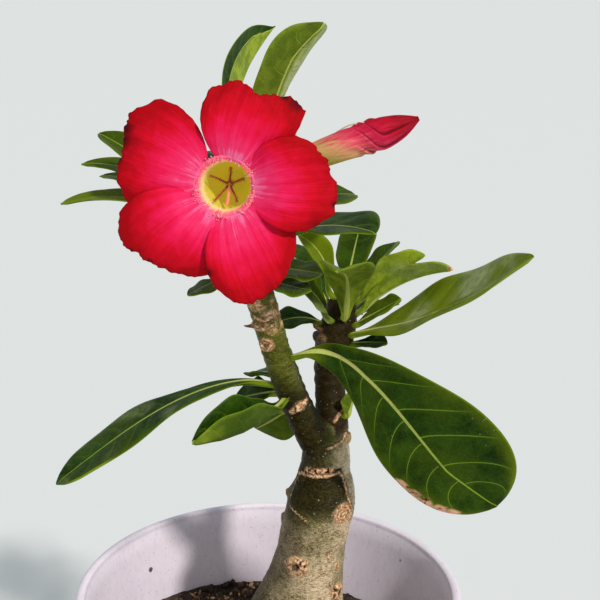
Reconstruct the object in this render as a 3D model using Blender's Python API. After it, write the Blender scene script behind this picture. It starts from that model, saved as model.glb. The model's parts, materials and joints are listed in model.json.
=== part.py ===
"""A potted desert rose: a swollen grey-green stem with two branches, leathery leaves,
one open red flower and one bud, in a plain lilac pot with dark soil.

The model is in metres, +Z up, and stands on z = 0 with the pot's axis on the Z axis.
The flower looks towards -Y. Sizes below are in millimetres and MM turns them to metres.
Angles are in degrees. A heading of 0 points along +X, 90 along +Y.
"""

import math
import random
from dataclasses import dataclass

import bmesh
import bpy
import numpy as np
from mathutils import Vector
from mathutils.bvhtree import BVHTree

MM = 0.001
# Neighbouring pieces keep this gap, because meshes hold 32-bit numbers
GAP = 0.3

# The pot, a tapered cup with a thicker collar under its rounded rim
POT_HEIGHT = 105.0
POT_RIM_RADIUS = 60.0
POT_WALL = 3.2
POT_BASE_RADIUS = 44.7
POT_FLOOR = 6.0
POT_COLLAR_HEIGHT = 14.0
POT_COLLAR_STEP = 1.8
POT_FOOT_ROUND = 1.5
POT_LIP_ROUND = 1.8
POT_DRAFT = 0.6
POT_INNER_FOOT = 2.4
POT_SIDES = 48
DRAIN_HOLES = 4
DRAIN_RADIUS = 4.0
DRAIN_CIRCLE = 24.0
DRAIN_SIDES = 16

# The soil leaves a band of bare wall above it
SOIL_LEVEL = 78.0
SOIL_ROUGHNESS = 1.1
SOIL_SIDES = 44
SOIL_SEED = 7
# Where the bumpy rings lie, as shares of the way from the pot to the stem
SOIL_RINGS = (0.14, 0.3, 0.46, 0.62, 0.78, 0.93)

# The swollen root in the soil is round, so that it can stand in a plain hole
ROOT_X = 5.5
ROOT_PROFILE = ((50.0, 3.0), (51.5, 9.0), (56.0, 14.0), (64.0, 18.0), (74.0, 19.6), (84.0, 19.0))

# Stems, as x, y, z and radius along each
TRUNK = (
    (6.3, 0.0, 91.0, 17.2),
    (8.6, 0.0, 100.0, 14.8),
    (10.9, 0.0, 110.0, 12.2),
    (12.9, 0.0, 119.0, 10.8),
    (14.4, 0.0, 128.0, 10.2),
    (15.8, 0.0, 135.0, 10.1),
    (16.2, 0.0, 140.5, 9.8),
    (16.8, 0.4, 143.5, 8.7),
    (17.3, 0.6, 148.0, 7.7),
    (17.7, 0.4, 153.0, 7.3),
    (17.4, 0.2, 158.0, 6.6),
    (17.2, 0.2, 162.0, 4.4),
    (17.1, 0.2, 163.5, 1.2),
)
FRONT_BRANCH = (
    (17.0, 1.0, 150.0, 3.0),
    (16.0, 0.0, 154.0, 4.9),
    (13.8, -2.0, 159.5, 5.1),
    (11.6, -4.4, 164.5, 4.8),
    (9.2, -7.0, 171.0, 4.75),
    (6.7, -10.0, 179.0, 4.55),
    (4.5, -13.2, 187.0, 4.3),
    (2.5, -16.2, 195.0, 4.2),
    (0.7, -19.0, 202.5, 4.35),
    (-0.8, -21.0, 209.0, 4.35),
    (-3.2, -23.6, 218.0, 4.15),
    (-5.6, -26.0, 227.0, 4.1),
    (-7.2, -27.4, 233.0, 3.7),
    (-8.0, -28.0, 236.5, 2.4),
    (-8.2, -28.2, 238.0, 0.8),
)
REAR_BRANCH = (
    (17.6, 0.0, 149.0, 4.0),
    (18.8, 1.4, 155.0, 5.4),
    (19.6, 4.2, 161.0, 4.9),
    (19.0, 8.0, 169.0, 4.7),
    (18.9, 11.0, 177.0, 5.1),
    (20.4, 13.6, 184.0, 5.7),
    (21.8, 15.2, 190.0, 5.4),
    (22.6, 16.2, 195.5, 4.2),
    (22.9, 16.6, 198.5, 2.6),
    (23.0, 16.8, 200.0, 0.8),
)
STEMS = {"trunk": TRUNK, "front": FRONT_BRANCH, "rear": REAR_BRANCH}
STEM_SIDES = 18
THINNEST_RADIUS = 0.4
# The old pruning cut leaves a ledge on the front of the trunk
LEDGE_Z = 145.6
LEDGE_DEPTH = 1.3
LEDGE_SOFTNESS = 1.8
# Above the cut the front is hollowed by this share of the ledge's depth
LEDGE_HOLLOW = 0.35
# The swelling under the ledge grows out of the trunk over this stretch
LEDGE_SWELL_FROM = 118.0
LEDGE_SWELL_OVER = 14.0
# How far the ledge runs round to the sides, and how fast it fades there
LEDGE_SIDES = 0.28
LEDGE_FADE = 1.1


@dataclass(frozen=True)
class Knob:
    """A low corky disc on a stem, at height z and a heading. A dent makes it a scar."""

    stem: str
    z: float
    heading: float
    radius: float
    height: float
    dent: float = 0.0


KNOBS = (
    Knob("trunk", 136.4, 313, 2.9, 0.9, dent=0.6),
    Knob("trunk", 119.4, 246, 3.0, 0.8, dent=0.6),
    Knob("trunk", 108.6, 330, 2.6, 0.8, dent=0.4),
    Knob("trunk", 139.5, 178, 1.4, 1.0),
    Knob("trunk", 130.6, 176, 1.6, 0.8),
    Knob("trunk", 112.0, 60, 2.8, 0.8, dent=0.5),
    Knob("trunk", 127.0, 110, 2.6, 0.8, dent=0.5),
    Knob("front", 196.5, 246, 2.2, 0.9, dent=0.9),
    Knob("front", 204.0, 250, 2.6, 0.8, dent=0.3),
    Knob("front", 173.7, 288, 1.9, 0.7),
    Knob("front", 199.0, 60, 2.0, 0.7, dent=0.4),
    Knob("rear", 184.6, 168, 1.6, 1.2),
    Knob("rear", 185.5, 222, 1.7, 1.2),
    Knob("rear", 181.5, 290, 1.6, 1.1),
    Knob("rear", 178.0, 70, 1.9, 1.0),
    Knob("trunk", 158.0, 0, 1.7, 1.2),
)
KNOB_SIDES = 8
# A knob is rooted this many times its own height deep in its stem
KNOB_ROOT = 2.0

# Dried stalks that stay on the stems, as x, y, z and radius along each
TWIG_SIDES = 6
TWIGS = (
    ((24.0, 16.0, 189.0, 0.9), (27.2, 17.6, 190.6, 0.7), (29.2, 17.6, 190.8, 0.5)),
    ((17.0, 12.5, 187.5, 1.0), (14.6, 11.2, 189.0, 0.7), (13.6, 10.6, 190.4, 0.45)),
    ((-0.6, -18.4, 201.5, 0.9), (-4.8, -19.2, 201.6, 0.7), (-6.2, -19.6, 202.2, 0.4)),
)

# Leaves: blade and petiole
BLADE_THICKNESS = 0.85
MARGIN_THICKNESS = 0.65
MIDRIB_HALF_WIDTH = 1.1
MIDRIB_DEPTH = 1.0
PETIOLE_WIDTH = 2.6
LEAF_TIP_WIDTH = 0.5
# Where a blade's points lie from one margin to the other, in half-widths
WIDE_ACROSS = (-1, -0.55, -0.18, 0, 0.18, 0.55, 1)
NARROW_ACROSS = (-1, -0.35, 0, 0.35, 1)
WIDE_LEAF = 15
# The elevations at which a petiole may leave its stem, and its share of the leaf's length
LOWEST_EXIT = -20.0
STEEPEST_EXIT = 45.0
PETIOLE_SHARE = 0.14
WAVES_PER_LEAF = 2.5


@dataclass(frozen=True)
class Leaf:
    """One leaf. It leaves its stem at height z, rises, then droops and sweeps round.

    A bend of 1 spreads the droop evenly and a greater one brings it nearer to the foot.
    The greater its point, the sharper its tip.
    """

    name: str
    stem: str
    z: float
    heading: float
    rise: float
    droop: float
    length: float
    width: float
    sweep: float = 0.0
    roll: float = 0.0
    twist: float = 0.0
    fold: float = 12.0
    bend: float = 1.0
    widest: float = 0.66
    point: float = 0.8
    wave: float = 0.5
    stations: int = 9


LEAVES = (
    # On the front branch, below the flower
    Leaf("leaf_broad", "front", 190, 337, 22, 69, 78, 37, 26, 99, 8, 2, 5, 0.72, point=0.62, stations=14),
    Leaf("leaf_long", "front", 180, 201, 17, 51, 70, 19, -3, 7, -10, 2, 2.4, 0.72, stations=12),
    Leaf("leaf_cupped", "front", 178, 244, -14, -20, 35, 21, -41, -9, 3, fold=74, widest=0.6),
    Leaf("leaf_shaded", "front", 171, 131, -43, -9, 21, 19, -14, 29, 17, fold=-4, widest=0.6),
    Leaf("leaf_tucked", "front", 178, 147, -19, 8, 18, 14, -8, -26, -3, fold=9, stations=8),
    Leaf("leaf_small_left", "front", 182, 125, -4, 30, 15, 9, fold=12, stations=8),
    # Round the front branch's tip, behind the flower
    Leaf("crown_leaf_1", "front", 234, 17, 92, 39, 59, 25, -37, -7, -18, fold=20, widest=0.76, stations=12),
    Leaf("crown_leaf_2", "front", 235, 111, 66, 58, 71.6, 15, -59, -98, 15, 1, point=1.3),
    Leaf("crown_leaf_3", "front", 232.6, 146, 31, 16, 47.8, 14, roll=-5, fold=19),
    Leaf("crown_leaf_4", "front", 228.2, 181, 64, 66, 45.5, 13.3, roll=-7, fold=10, widest=0.6, point=1.2),
    Leaf("crown_leaf_5", "front", 226, 141, 32, 42, 52.5, 11.3, roll=-3, fold=13, widest=0.6, point=1.2),
    Leaf("crown_leaf_6", "front", 224, 192, 57, 70, 50.3, 11, roll=1, fold=14, widest=0.6, point=1.1),
    Leaf("crown_leaf_7", "front", 221.5, 214, -10, 10, 15, 12, -14, 9, fold=0, stations=8),
    Leaf("crown_leaf_8", "front", 229, 38, 30, 47, 38, 14, roll=12, fold=10),
    Leaf("crown_leaf_9", "front", 226, 335, 39, 44, 39, 22, -13, 4, -5, fold=8, widest=0.72),
    Leaf("crown_leaf_10", "front", 221, 332, -18, -18, 14, 13, 16, fold=2, stations=8),
    Leaf("crown_leaf_11", "front", 222, 351, -2, 4, 16, 16, fold=4, stations=8),
    Leaf("crown_leaf_12", "front", 229, 102, 46, 60, 44, 18),
    Leaf("crown_leaf_13", "front", 223, 112, 10, 50, 38, 16),
    # Round the rear branch's tip
    Leaf("rear_leaf_1", "rear", 197, 217, 92, 60, 26, 9, -2, -70, fold=22),
    Leaf("rear_leaf_2", "rear", 194.8, 76, 46, 20, 29, 13, roll=-16, fold=3),
    Leaf("rear_leaf_3", "rear", 192, 35, 71, 49, 24.1, 12.5, 2, -24, fold=17, point=0.9),
    Leaf("rear_leaf_4", "rear", 194.5, 0, 43, 14, 25, 16, roll=-36, fold=25),
    Leaf("rear_leaf_5", "rear", 191.2, 350, 52, 46, 33, 14, roll=-32, fold=20),
    Leaf("rear_leaf_6", "rear", 185.5, 322, 23, -18, 70, 25.5, 4, 21, -5, 11, widest=0.47, point=0.68, stations=12),
    Leaf("rear_leaf_7", "rear", 191, 281, 72, 60, 41, 17, -30, -5, 6, fold=21),
    Leaf("rear_leaf_8", "rear", 190, 237, 62, 29, 23, 14, -8, -50, -10, fold=18),
    Leaf("rear_leaf_9", "rear", 188, 190, 28, 59, 16, 12, 0, -9, fold=7, stations=8),
    Leaf("rear_leaf_10", "rear", 188.1, 331, 34, -4, 18, 8, roll=29, fold=18, stations=8),
    Leaf("rear_leaf_11", "rear", 183, 338, 12, 5, 11, 7, roll=11, fold=9, stations=8),
    Leaf("rear_leaf_12", "rear", 190, 125, 50, 60, 34, 15),
    Leaf("rear_leaf_13", "rear", 187, 60, 10, 40, 30, 13),
    Leaf("rear_leaf_14", "rear", 163, 320, 78, 10, 9, 6, fold=24, stations=8),
)

# The flower: a funnel that opens into five broad lobes
FLOWER_CENTRE = (-9.2, -52.0, 252.5)
FLOWER_ELEVATION = 12.0
FLOWER_HEADING = 263.0
THROAT_RADIUS = 7.3
FUNNEL_WALL = 0.8
# Depth below the mouth and inner radius along the funnel
FUNNEL_PROFILE = ((0.0, 7.3), (2.0, 6.6), (6.0, 5.9), (11.0, 5.2), (16.0, 4.0), (21.0, 2.4), (26.0, 1.7))
FUNNEL_SIDES = 20
LOBE_THICKNESS = 0.75
# How far a lobe rises from the mouth, and how far its end then curls back
LOBE_RISE = 3.2
LOBE_CURL = 3.4
LOBE_WAVE = 0.55
# A lobe reaches its full width at this share of its length, and the lower its fullness,
# the sooner it broadens
LOBE_SHOULDER = 0.8
LOBE_FULLNESS = 0.7
# How sharply a lobe's end falls away towards its corners
LOBE_CORNER = 3.5
LOBE_RING_ROWS = 7
LOBE_RING_COLUMNS = 6


@dataclass(frozen=True)
class Lobe:
    """One lobe of the corolla.

    Cut rounds its corners off and skew draws one corner out past the other. Lift and tilt
    decide which neighbour it lies over.
    """

    angle: float
    length: float
    width: float
    cut: float
    skew: float
    lift: float = 0.0
    tilt: float = 0.0


LOBES = (
    Lobe(angle=5, length=20.8, width=24.2, cut=0.38, skew=-1.6, lift=1.1),
    Lobe(angle=70.5, length=19.0, width=24.4, cut=0.12, skew=-1.2, tilt=1.1),
    Lobe(angle=161, length=21.5, width=30.0, cut=0.36, skew=-2.0, lift=-1.1),
    Lobe(angle=228, length=20.3, width=30.3, cut=0.46, skew=-4.5, tilt=-1.1),
    Lobe(angle=294.5, length=22.0, width=24.6, cut=0.40, skew=-3.0, tilt=-1.1),
)

ANTHER_CONE_DEPTH = 20.0
ANTHER_CONE_LENGTH = 12.0
ANTHER_CONE_RADIUS = 2.3
ANTHER_TAIL_RADIUS = 0.38
ANTHER_TAILS = 5
ANTHER_TAIL_SIDES = 5

# Where the flower's and the bud's stalks leave the front branch, inside its tip
FLOWER_STALK_ROOT = (-8.6, -28.8, 235.0)
BUD_STALK_ROOT = (-6.2, -26.0, 235.4)
STALK_SIDES = 8
CUP_SIDES = 12
SEPALS = 5
SEPAL_LENGTH = 6.0
SEPAL_WIDTH = 2.6
SEPAL_THICKNESS = 0.7
SEPAL_STATIONS = 6
SEPAL_SPREAD = 1.3
CUP_DEPTH = 2.6

# The bud, along a gently rising curve
BUD_PATH = (
    (3.0, -20.5, 246.5),
    (9.5, -26.0, 251.2),
    (20.3, -31.0, 257.0),
    (31.0, -30.5, 260.6),
    (40.8, -30.0, 264.4),
)
# Share of the bud's length and radius there
BUD_PROFILE = (
    (0.0, 1.7),
    (0.08, 2.2),
    (0.2, 2.9),
    (0.35, 3.5),
    (0.5, 3.9),
    (0.62, 4.1),
    (0.74, 4.1),
    (0.85, 3.2),
    (0.94, 1.8),
    (1.0, 0.5),
)
BUD_TURNS = 0.55
BUD_STEP = 0.75
BUD_SIDES = 18
BUD_STEPS = 5

# Colours as red, green and blue, then roughness
LILAC = ((0.56, 0.51, 0.60), 0.6)
SOIL_BROWN = ((0.035, 0.024, 0.018), 0.95)
BARK = ((0.22, 0.20, 0.13), 0.6)
LEAF_GREEN = ((0.05, 0.15, 0.02), 0.38)
CRIMSON = ((0.62, 0.012, 0.035), 0.5)
ANTHER_RED = ((0.33, 0.10, 0.05), 0.6)
CALYX_GREEN = ((0.16, 0.27, 0.06), 0.5)


def material(name, colour):
    """A plain finish with the given colour and roughness."""
    made = bpy.data.materials.get(name) or bpy.data.materials.new(name)
    made.use_nodes = True
    shader = made.node_tree.nodes["Principled BSDF"]
    shader.inputs["Base Color"].default_value = (*colour[0], 1.0)
    shader.inputs["Roughness"].default_value = colour[1]
    shader.inputs["Metallic"].default_value = 0.0
    return made


def add_object(name, points, faces, finish=None, smooth=True):
    """A mesh object from points in millimetres, with its faces turned outwards."""
    mesh = bpy.data.meshes.new(name)
    mesh.from_pydata([tuple(c * MM for c in point) for point in points], [], faces)
    form = bmesh.new()
    form.from_mesh(mesh)
    bmesh.ops.recalc_face_normals(form, faces=form.faces)
    form.to_mesh(mesh)
    form.free()
    if smooth:
        mesh.shade_smooth()
        mesh.set_sharp_from_angle(angle=math.radians(50))
    thing = bpy.data.objects.new(name, mesh)
    bpy.context.scene.collection.objects.link(thing)
    if finish:
        mesh.materials.append(finish)
    return thing


def lofted(rings, mirrored_from=None):
    """Points and faces of a closed skin through rings of equal count, capped at both ends.

    A thin blade's rings run across its upper face and, from mirrored_from on, back underneath.
    Its quads are split alike on both faces and its caps join the two faces point by point.
    """
    count = len(rings[0])
    points = [tuple(point) for ring in rings for point in ring]
    faces = []
    for row in range(len(rings) - 1):
        for column in range(count):
            after = (column + 1) % count
            a = row * count + column
            b = row * count + after
            c = (row + 1) * count + after
            d = (row + 1) * count + column
            if mirrored_from is not None and column >= mirrored_from:
                faces += [(a, b, d), (b, c, d)]
            else:
                faces += [(a, b, c), (a, c, d)]
    for start in (0, (len(rings) - 1) * count):
        if mirrored_from is not None:
            last = start + count - 1
            faces += [
                (start + i, start + i + 1, last - i - 1, last - i) for i in range(count // 2 - 1)
            ]
            continue
        points.append(tuple(np.mean(points[start : start + count], axis=0)))
        middle = len(points) - 1
        faces += [(start + i, start + (i + 1) % count, middle) for i in range(count)]
    return points, faces


def joined(name, parts, finish):
    """One object that is the union of parts, which are removed."""
    first, *others = parts
    folder = bpy.data.collections.new(name + "_parts")
    bpy.context.scene.collection.children.link(folder)
    for part in others:
        folder.objects.link(part)
    union = first.modifiers.new("union", "BOOLEAN")
    union.operation = "UNION"
    union.operand_type = "COLLECTION"
    union.collection = folder
    union.solver = "EXACT"
    graph = bpy.context.evaluated_depsgraph_get()
    mesh = bpy.data.meshes.new_from_object(first.evaluated_get(graph))
    for part in parts:
        bpy.data.objects.remove(part)
    bpy.data.collections.remove(folder)
    mesh.name = name
    mesh.materials.clear()
    mesh.materials.append(finish)
    mesh.shade_smooth()
    mesh.set_sharp_from_angle(angle=math.radians(50))
    made = bpy.data.objects.new(name, mesh)
    bpy.context.scene.collection.objects.link(made)
    return made


# Curves


def smooth_curve(knots, per_span):
    """Points on a Catmull-Rom curve through the knots, whose columns may include a radius."""
    knots = np.array(knots, float)
    padded = np.vstack([2 * knots[0] - knots[1], knots, 2 * knots[-1] - knots[-2]])
    found = []
    for i in range(1, len(padded) - 2):
        p0, p1, p2, p3 = padded[i - 1 : i + 3]
        for step in range(per_span):
            t = step / per_span
            found.append(
                0.5
                * (
                    2 * p1
                    + (p2 - p0) * t
                    + (2 * p0 - 5 * p1 + 4 * p2 - p3) * t * t
                    + (3 * p1 - p0 - 3 * p2 + p3) * t**3
                )
            )
    return np.array([*found, padded[-2]])


def unit(vector):
    """The vector at length one."""
    return np.asarray(vector, float) / np.linalg.norm(vector)


def carried_frames(path):
    """A side vector and an up vector at each point of a path, carried along without spin."""
    tangents = np.gradient(path, axis=0)
    tangents /= np.linalg.norm(tangents, axis=1)[:, None]
    side = unit(np.cross(tangents[0], (0.0, 1.0, 0.0)))
    found = []
    for tangent in tangents:
        side = unit(side - tangent * (side @ tangent))
        found.append((side, np.cross(tangent, side)))
    return found


def tube_rings(knots, sides, per_span=1, extra=0.0):
    """Rings round a curve through knots of x, y, z and radius, fatter by extra millimetres."""
    curve = smooth_curve(knots, per_span)
    turns = 2 * np.pi * np.arange(sides) / sides
    rings = []
    for centre, radius, (side, up) in zip(curve[:, :3], curve[:, 3], carried_frames(curve[:, :3])):
        around = side * np.cos(turns)[:, None] + up * np.sin(turns)[:, None]
        rings.append(centre + around * (max(radius, THINNEST_RADIUS) + extra))
    rings[-1] = rings[-1] + unit(curve[-1, :3] - curve[-2, :3]) * extra
    return rings


def tube(name, knots, sides, per_span=3):
    """A closed round tube through knots of x, y, z and radius."""
    return add_object(name, *lofted(tube_rings(knots, sides, per_span)))


def ease(x):
    """A smooth step from 0 to 1."""
    x = np.clip(x, 0.0, 1.0)
    return x * x * (3 - 2 * x)


# The pot


def pot_profile():
    """Radius and height round the pot's wall, from the middle of its underside."""
    collar_z = POT_HEIGHT - POT_COLLAR_HEIGHT
    collar_radius = POT_RIM_RADIUS - POT_DRAFT
    body_top = collar_radius - POT_COLLAR_STEP
    lip = POT_LIP_ROUND
    mouth = POT_RIM_RADIUS - POT_WALL
    floor_edge = POT_FLOOR + POT_INNER_FOOT
    return (
        (0.0, 0.0),
        (POT_BASE_RADIUS - POT_FOOT_ROUND, 0.0),
        (POT_BASE_RADIUS, POT_FOOT_ROUND),
        (body_top, collar_z - 0.8 * POT_COLLAR_STEP),
        (collar_radius, collar_z),
        (POT_RIM_RADIUS, POT_HEIGHT - lip),
        (POT_RIM_RADIUS - 0.3 * lip, POT_HEIGHT - 0.3 * lip),
        (POT_RIM_RADIUS - 0.9 * lip, POT_HEIGHT),
        (mouth + 0.4 * lip, POT_HEIGHT - 0.2 * lip),
        (mouth, POT_HEIGHT - lip),
        (inner_radius(floor_edge), floor_edge),
        (inner_radius(POT_FLOOR) - POT_INNER_FOOT, POT_FLOOR),
        (0.0, POT_FLOOR),
    )


def inner_radius(z):
    """Radius of the pot's inner wall at a height."""
    mouth_z = POT_HEIGHT - POT_LIP_ROUND
    mouth = POT_RIM_RADIUS - POT_WALL
    foot = POT_BASE_RADIUS - POT_WALL
    return foot + (mouth - foot) * (z - POT_FLOOR) / (mouth_z - POT_FLOOR)


def build_pot():
    """The pot: its profile spun round the Z axis, with drain holes cut through its floor."""
    form = bmesh.new()
    corners = [form.verts.new((r * MM, 0.0, z * MM)) for r, z in pot_profile()]
    edges = [form.edges.new(pair) for pair in zip(corners, corners[1:])]
    bmesh.ops.spin(
        form,
        geom=[*corners, *edges],
        cent=(0, 0, 0),
        axis=(0, 0, 1),
        angle=2 * math.pi,
        steps=POT_SIDES,
        use_merge=True,
    )
    bmesh.ops.remove_doubles(form, verts=form.verts, dist=1e-6)
    bmesh.ops.recalc_face_normals(form, faces=form.faces)
    mesh = bpy.data.meshes.new("pot")
    form.to_mesh(mesh)
    form.free()
    pot = bpy.data.objects.new("pot", mesh)
    bpy.context.scene.collection.objects.link(pot)
    mesh.materials.append(material("lilac_pot", LILAC))
    mesh.shade_smooth()
    mesh.set_sharp_from_angle(angle=math.radians(40))
    cut = pot.modifiers.new("drain_holes", "BOOLEAN")
    cut.operation = "DIFFERENCE"
    cut.solver = "EXACT"
    cut.object = drain_cutter()
    return pot


def drain_cutter():
    """Round pegs through the pot's floor, as one hidden cutter."""
    form = bmesh.new()
    for i in range(DRAIN_HOLES):
        angle = 2 * math.pi * (i + 0.5) / DRAIN_HOLES
        made = bmesh.ops.create_cone(
            form,
            cap_ends=True,
            segments=DRAIN_SIDES,
            radius1=DRAIN_RADIUS * MM,
            radius2=DRAIN_RADIUS * MM,
            depth=4 * POT_FLOOR * MM,
        )
        shift = (DRAIN_CIRCLE * math.cos(angle) * MM, DRAIN_CIRCLE * math.sin(angle) * MM, 0)
        bmesh.ops.translate(form, verts=made["verts"], vec=shift)
    mesh = bpy.data.meshes.new("drain_cutter")
    form.to_mesh(mesh)
    form.free()
    cutter = bpy.data.objects.new("drain_cutter", mesh)
    cutter.hide_render = True
    cutter.display_type = "WIRE"
    bpy.context.scene.collection.objects.link(cutter)
    return cutter


# The soil


def round_ring(x, radius, z, sides):
    """Points on a level circle centred on (x, 0)."""
    turns = 2 * np.pi * np.arange(sides) / sides
    return np.stack([x + radius * np.cos(turns), radius * np.sin(turns), np.full(sides, z)], axis=1)


def build_soil():
    """The soil fills the pot and leaves a plain hole in which the root stands."""
    draw = random.Random(SOIL_SEED)
    hole = [(z, r) for z, r in reversed(ROOT_PROFILE) if z < SOIL_LEVEL]
    (low, low_r), (high, high_r) = ROOT_PROFILE[-2:]
    mouth = low_r + (high_r - low_r) * (SOIL_LEVEL - low) / (high - low) + GAP
    bottom = POT_FLOOR + GAP
    shoulder = bottom + 2 * POT_INNER_FOOT
    rings = [
        round_ring(0, inner_radius(bottom) - POT_INNER_FOOT - 3 * GAP, bottom, SOIL_SIDES),
        round_ring(0, inner_radius(shoulder) - GAP, shoulder, SOIL_SIDES),
        round_ring(0, inner_radius(SOIL_LEVEL) - GAP, SOIL_LEVEL, SOIL_SIDES),
    ]
    edge = rings[-1]
    neck = round_ring(ROOT_X, mouth, SOIL_LEVEL, SOIL_SIDES)
    for share in SOIL_RINGS:
        ring = edge + (neck - edge) * share
        ring[:, 2] += [draw.uniform(-1, 1) * SOIL_ROUGHNESS for _ in ring]
        rings.append(ring)
    rings.append(neck)
    rings += [round_ring(ROOT_X, r + GAP, z - GAP / 2, SOIL_SIDES) for z, r in hole[:-1]]
    rings.append(round_ring(ROOT_X, hole[-1][1] + GAP, hole[-1][0] - GAP, SOIL_SIDES))
    return add_object("soil", *lofted(rings), material("dark_soil", SOIL_BROWN))


# The stems


def trunk_rings(extra=0.0):
    """Root and trunk in one, with the ledge of the old cut on the front."""
    sides = STEM_SIDES
    rings = [round_ring(ROOT_X, r + extra, z, sides) for z, r in ROOT_PROFILE]
    for x, y, z, radius in TRUNK:
        turns = 2 * np.pi * np.arange(sides) / sides
        front = ease(LEDGE_SIDES - LEDGE_FADE * np.sin(turns))
        below = ease((LEDGE_Z - z) / LEDGE_SOFTNESS + 0.5)
        swell = ease((z - LEDGE_SWELL_FROM) / LEDGE_SWELL_OVER)
        ledge = LEDGE_DEPTH * (below * swell - LEDGE_HOLLOW * (1 - below))
        fat = radius + extra + ledge * front
        rings.append(
            np.stack([x + fat * np.cos(turns), y + fat * np.sin(turns), np.full(sides, z)], axis=1)
        )
    return rings


def knob_part(knob):
    """A corky disc that stands on its stem's skin, with its middle dented if it is a scar."""
    knots = STEMS[knob.stem]
    axis = stem_axis(knob.stem, knob.z)
    curve = smooth_curve(knots, 8)
    radius = np.interp(knob.z, curve[:, 2], curve[:, 3])
    outward = direction(knob.heading, 0.0)
    across = np.cross(outward, (0.0, 0.0, 1.0))
    turns = 2 * np.pi * np.arange(KNOB_SIDES) / KNOB_SIDES
    profile = ((1.0, -KNOB_ROOT), (1.0, 0.4), (0.75, 1.0), (0.4, 1.0 - knob.dent))
    rings = []
    for share, rise in profile:
        reach = radius + knob.height * rise
        circle = across * np.cos(turns)[:, None] + np.array((0.0, 0.0, 1.0)) * np.sin(turns)[:, None]
        rings.append(axis + outward * reach + circle * knob.radius * share)
    return add_object("knob_part", *lofted(rings))


def build_trunk():
    """Root, trunk and both branches, grown as one body."""
    parts = [
        add_object("trunk_part", *lofted(trunk_rings())),
        tube("front_part", FRONT_BRANCH, STEM_SIDES, per_span=1),
        tube("rear_part", REAR_BRANCH, STEM_SIDES, per_span=1),
        *(knob_part(knob) for knob in KNOBS),
        *(tube("twig_part", knots, TWIG_SIDES, per_span=2) for knots in TWIGS),
    ]
    return joined("trunk", parts, material("bark", BARK))


def stem_surface():
    """The stems' skin, fatter by the gap, on which leaves and stalks end."""
    points, faces = [], []
    branches = [tube_rings(knots, STEM_SIDES, extra=GAP) for knots in (FRONT_BRANCH, REAR_BRANCH)]
    for rings in (trunk_rings(GAP), *branches):
        more_points, more_faces = lofted(rings)
        faces += [tuple(i + len(points) for i in face) for face in more_faces]
        points += more_points
    return BVHTree.FromPolygons([Vector(point) for point in points], faces)


def stem_axis(stem, z):
    """The point on a stem's centreline at a height."""
    curve = smooth_curve(STEMS[stem], 8)
    return np.array([np.interp(z, curve[:, 2], curve[:, axis]) for axis in range(3)])


# The leaves


def direction(heading, elevation):
    """A unit vector from a heading and an elevation in degrees."""
    h, e = np.radians(heading), np.radians(elevation)
    return np.array([np.cos(e) * np.cos(h), np.cos(e) * np.sin(h), np.sin(e)])


def midrib(leaf, base, steps=80):
    """Points, tangents, side vectors and normals along a leaf's midrib."""
    s = np.linspace(0, 1, steps + 1)
    exit_angle = np.clip(leaf.rise, LOWEST_EXIT, STEEPEST_EXIT)
    elevation = leaf.rise - leaf.droop * (1 - (1 - s) ** leaf.bend)
    elevation = exit_angle + (elevation - exit_angle) * ease(s / PETIOLE_SHARE)
    heading = leaf.heading + leaf.sweep * s
    tangents = np.array([direction(h, e) for h, e in zip(heading, elevation)])
    hops = (tangents[1:] + tangents[:-1]) / 2 * leaf.length / steps
    path = base + np.vstack([np.zeros(3), np.cumsum(hops, axis=0)])
    level = np.radians(heading)
    sides = np.stack([-np.sin(level), np.cos(level), np.zeros_like(level)], axis=1)
    normals = np.cross(tangents, sides)
    roll = np.radians(leaf.roll + leaf.twist * s) * ease(s / 0.2)
    cos, sin = np.cos(roll)[:, None], np.sin(roll)[:, None]
    return s, path, tangents, sides * cos + normals * sin, normals * cos - sides * sin


def half_width(leaf, s):
    """Half the blade's width at a share of its length: narrow foot, broad shoulder, blunt tip."""
    rising = np.sin(np.pi / 2 * np.clip(s / leaf.widest, 0, 1)) ** 1.4
    past = np.clip((s - leaf.widest) / (1 - leaf.widest), 0, 1)
    closing = (1 - past**2.2) ** leaf.point
    blade = leaf.width / 2 * rising * closing
    petiole = PETIOLE_WIDTH / 2 * (1 - s)
    return np.maximum(np.sqrt(blade**2 + petiole**2), LEAF_TIP_WIDTH / 2)


def leaf_rings(leaf, base, across):
    """Rings of a leaf: its upper face from one margin to the other, and back underneath."""
    s_fine, path, _, sides, normals = midrib(leaf, base)
    q = np.linspace(0, 1, leaf.stations + 1)
    s = 0.6 * q + 0.4 * (0.5 - 0.5 * np.cos(np.pi * q))
    spot = [np.interp(s, s_fine, path[:, i]) for i in range(3)]
    side = [np.interp(s, s_fine, sides[:, i]) for i in range(3)]
    normal = [np.interp(s, s_fine, normals[:, i]) for i in range(3)]
    spot, side, normal = (np.stack(v, axis=1)[:, None, :] for v in (spot, side, normal))
    t = np.array(across)
    half = half_width(leaf, s)[:, None]
    reach = np.abs(t)[None, :]
    fold = np.radians(leaf.fold) * ease(s / 0.25)[:, None]
    ripple = leaf.wave * np.sin(2 * np.pi * WAVES_PER_LEAF * s[:, None] + np.sign(t)) * reach**2
    ripple = ripple * np.minimum(1, 2 * half / WIDE_LEAF)
    out = half * t * np.cos(fold)
    up = half * reach * np.sin(fold) + ripple
    upper = spot + side * out[..., None] + normal * up[..., None]
    along = np.gradient(upper, axis=0)
    width = np.gradient(upper, axis=1)
    skin = np.cross(along, width)
    skin /= np.linalg.norm(skin, axis=2)[..., None]
    rib = np.exp(-((out / MIDRIB_HALF_WIDTH) ** 2)) * MIDRIB_DEPTH * (1 - 0.75 * s[:, None])
    thick = MARGIN_THICKNESS + (BLADE_THICKNESS - MARGIN_THICKNESS) * (1 - reach**2) + rib
    lower = upper - skin * thick[..., None]
    return [np.vstack([top, under[::-1]]) for top, under in zip(upper, lower)]


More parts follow.
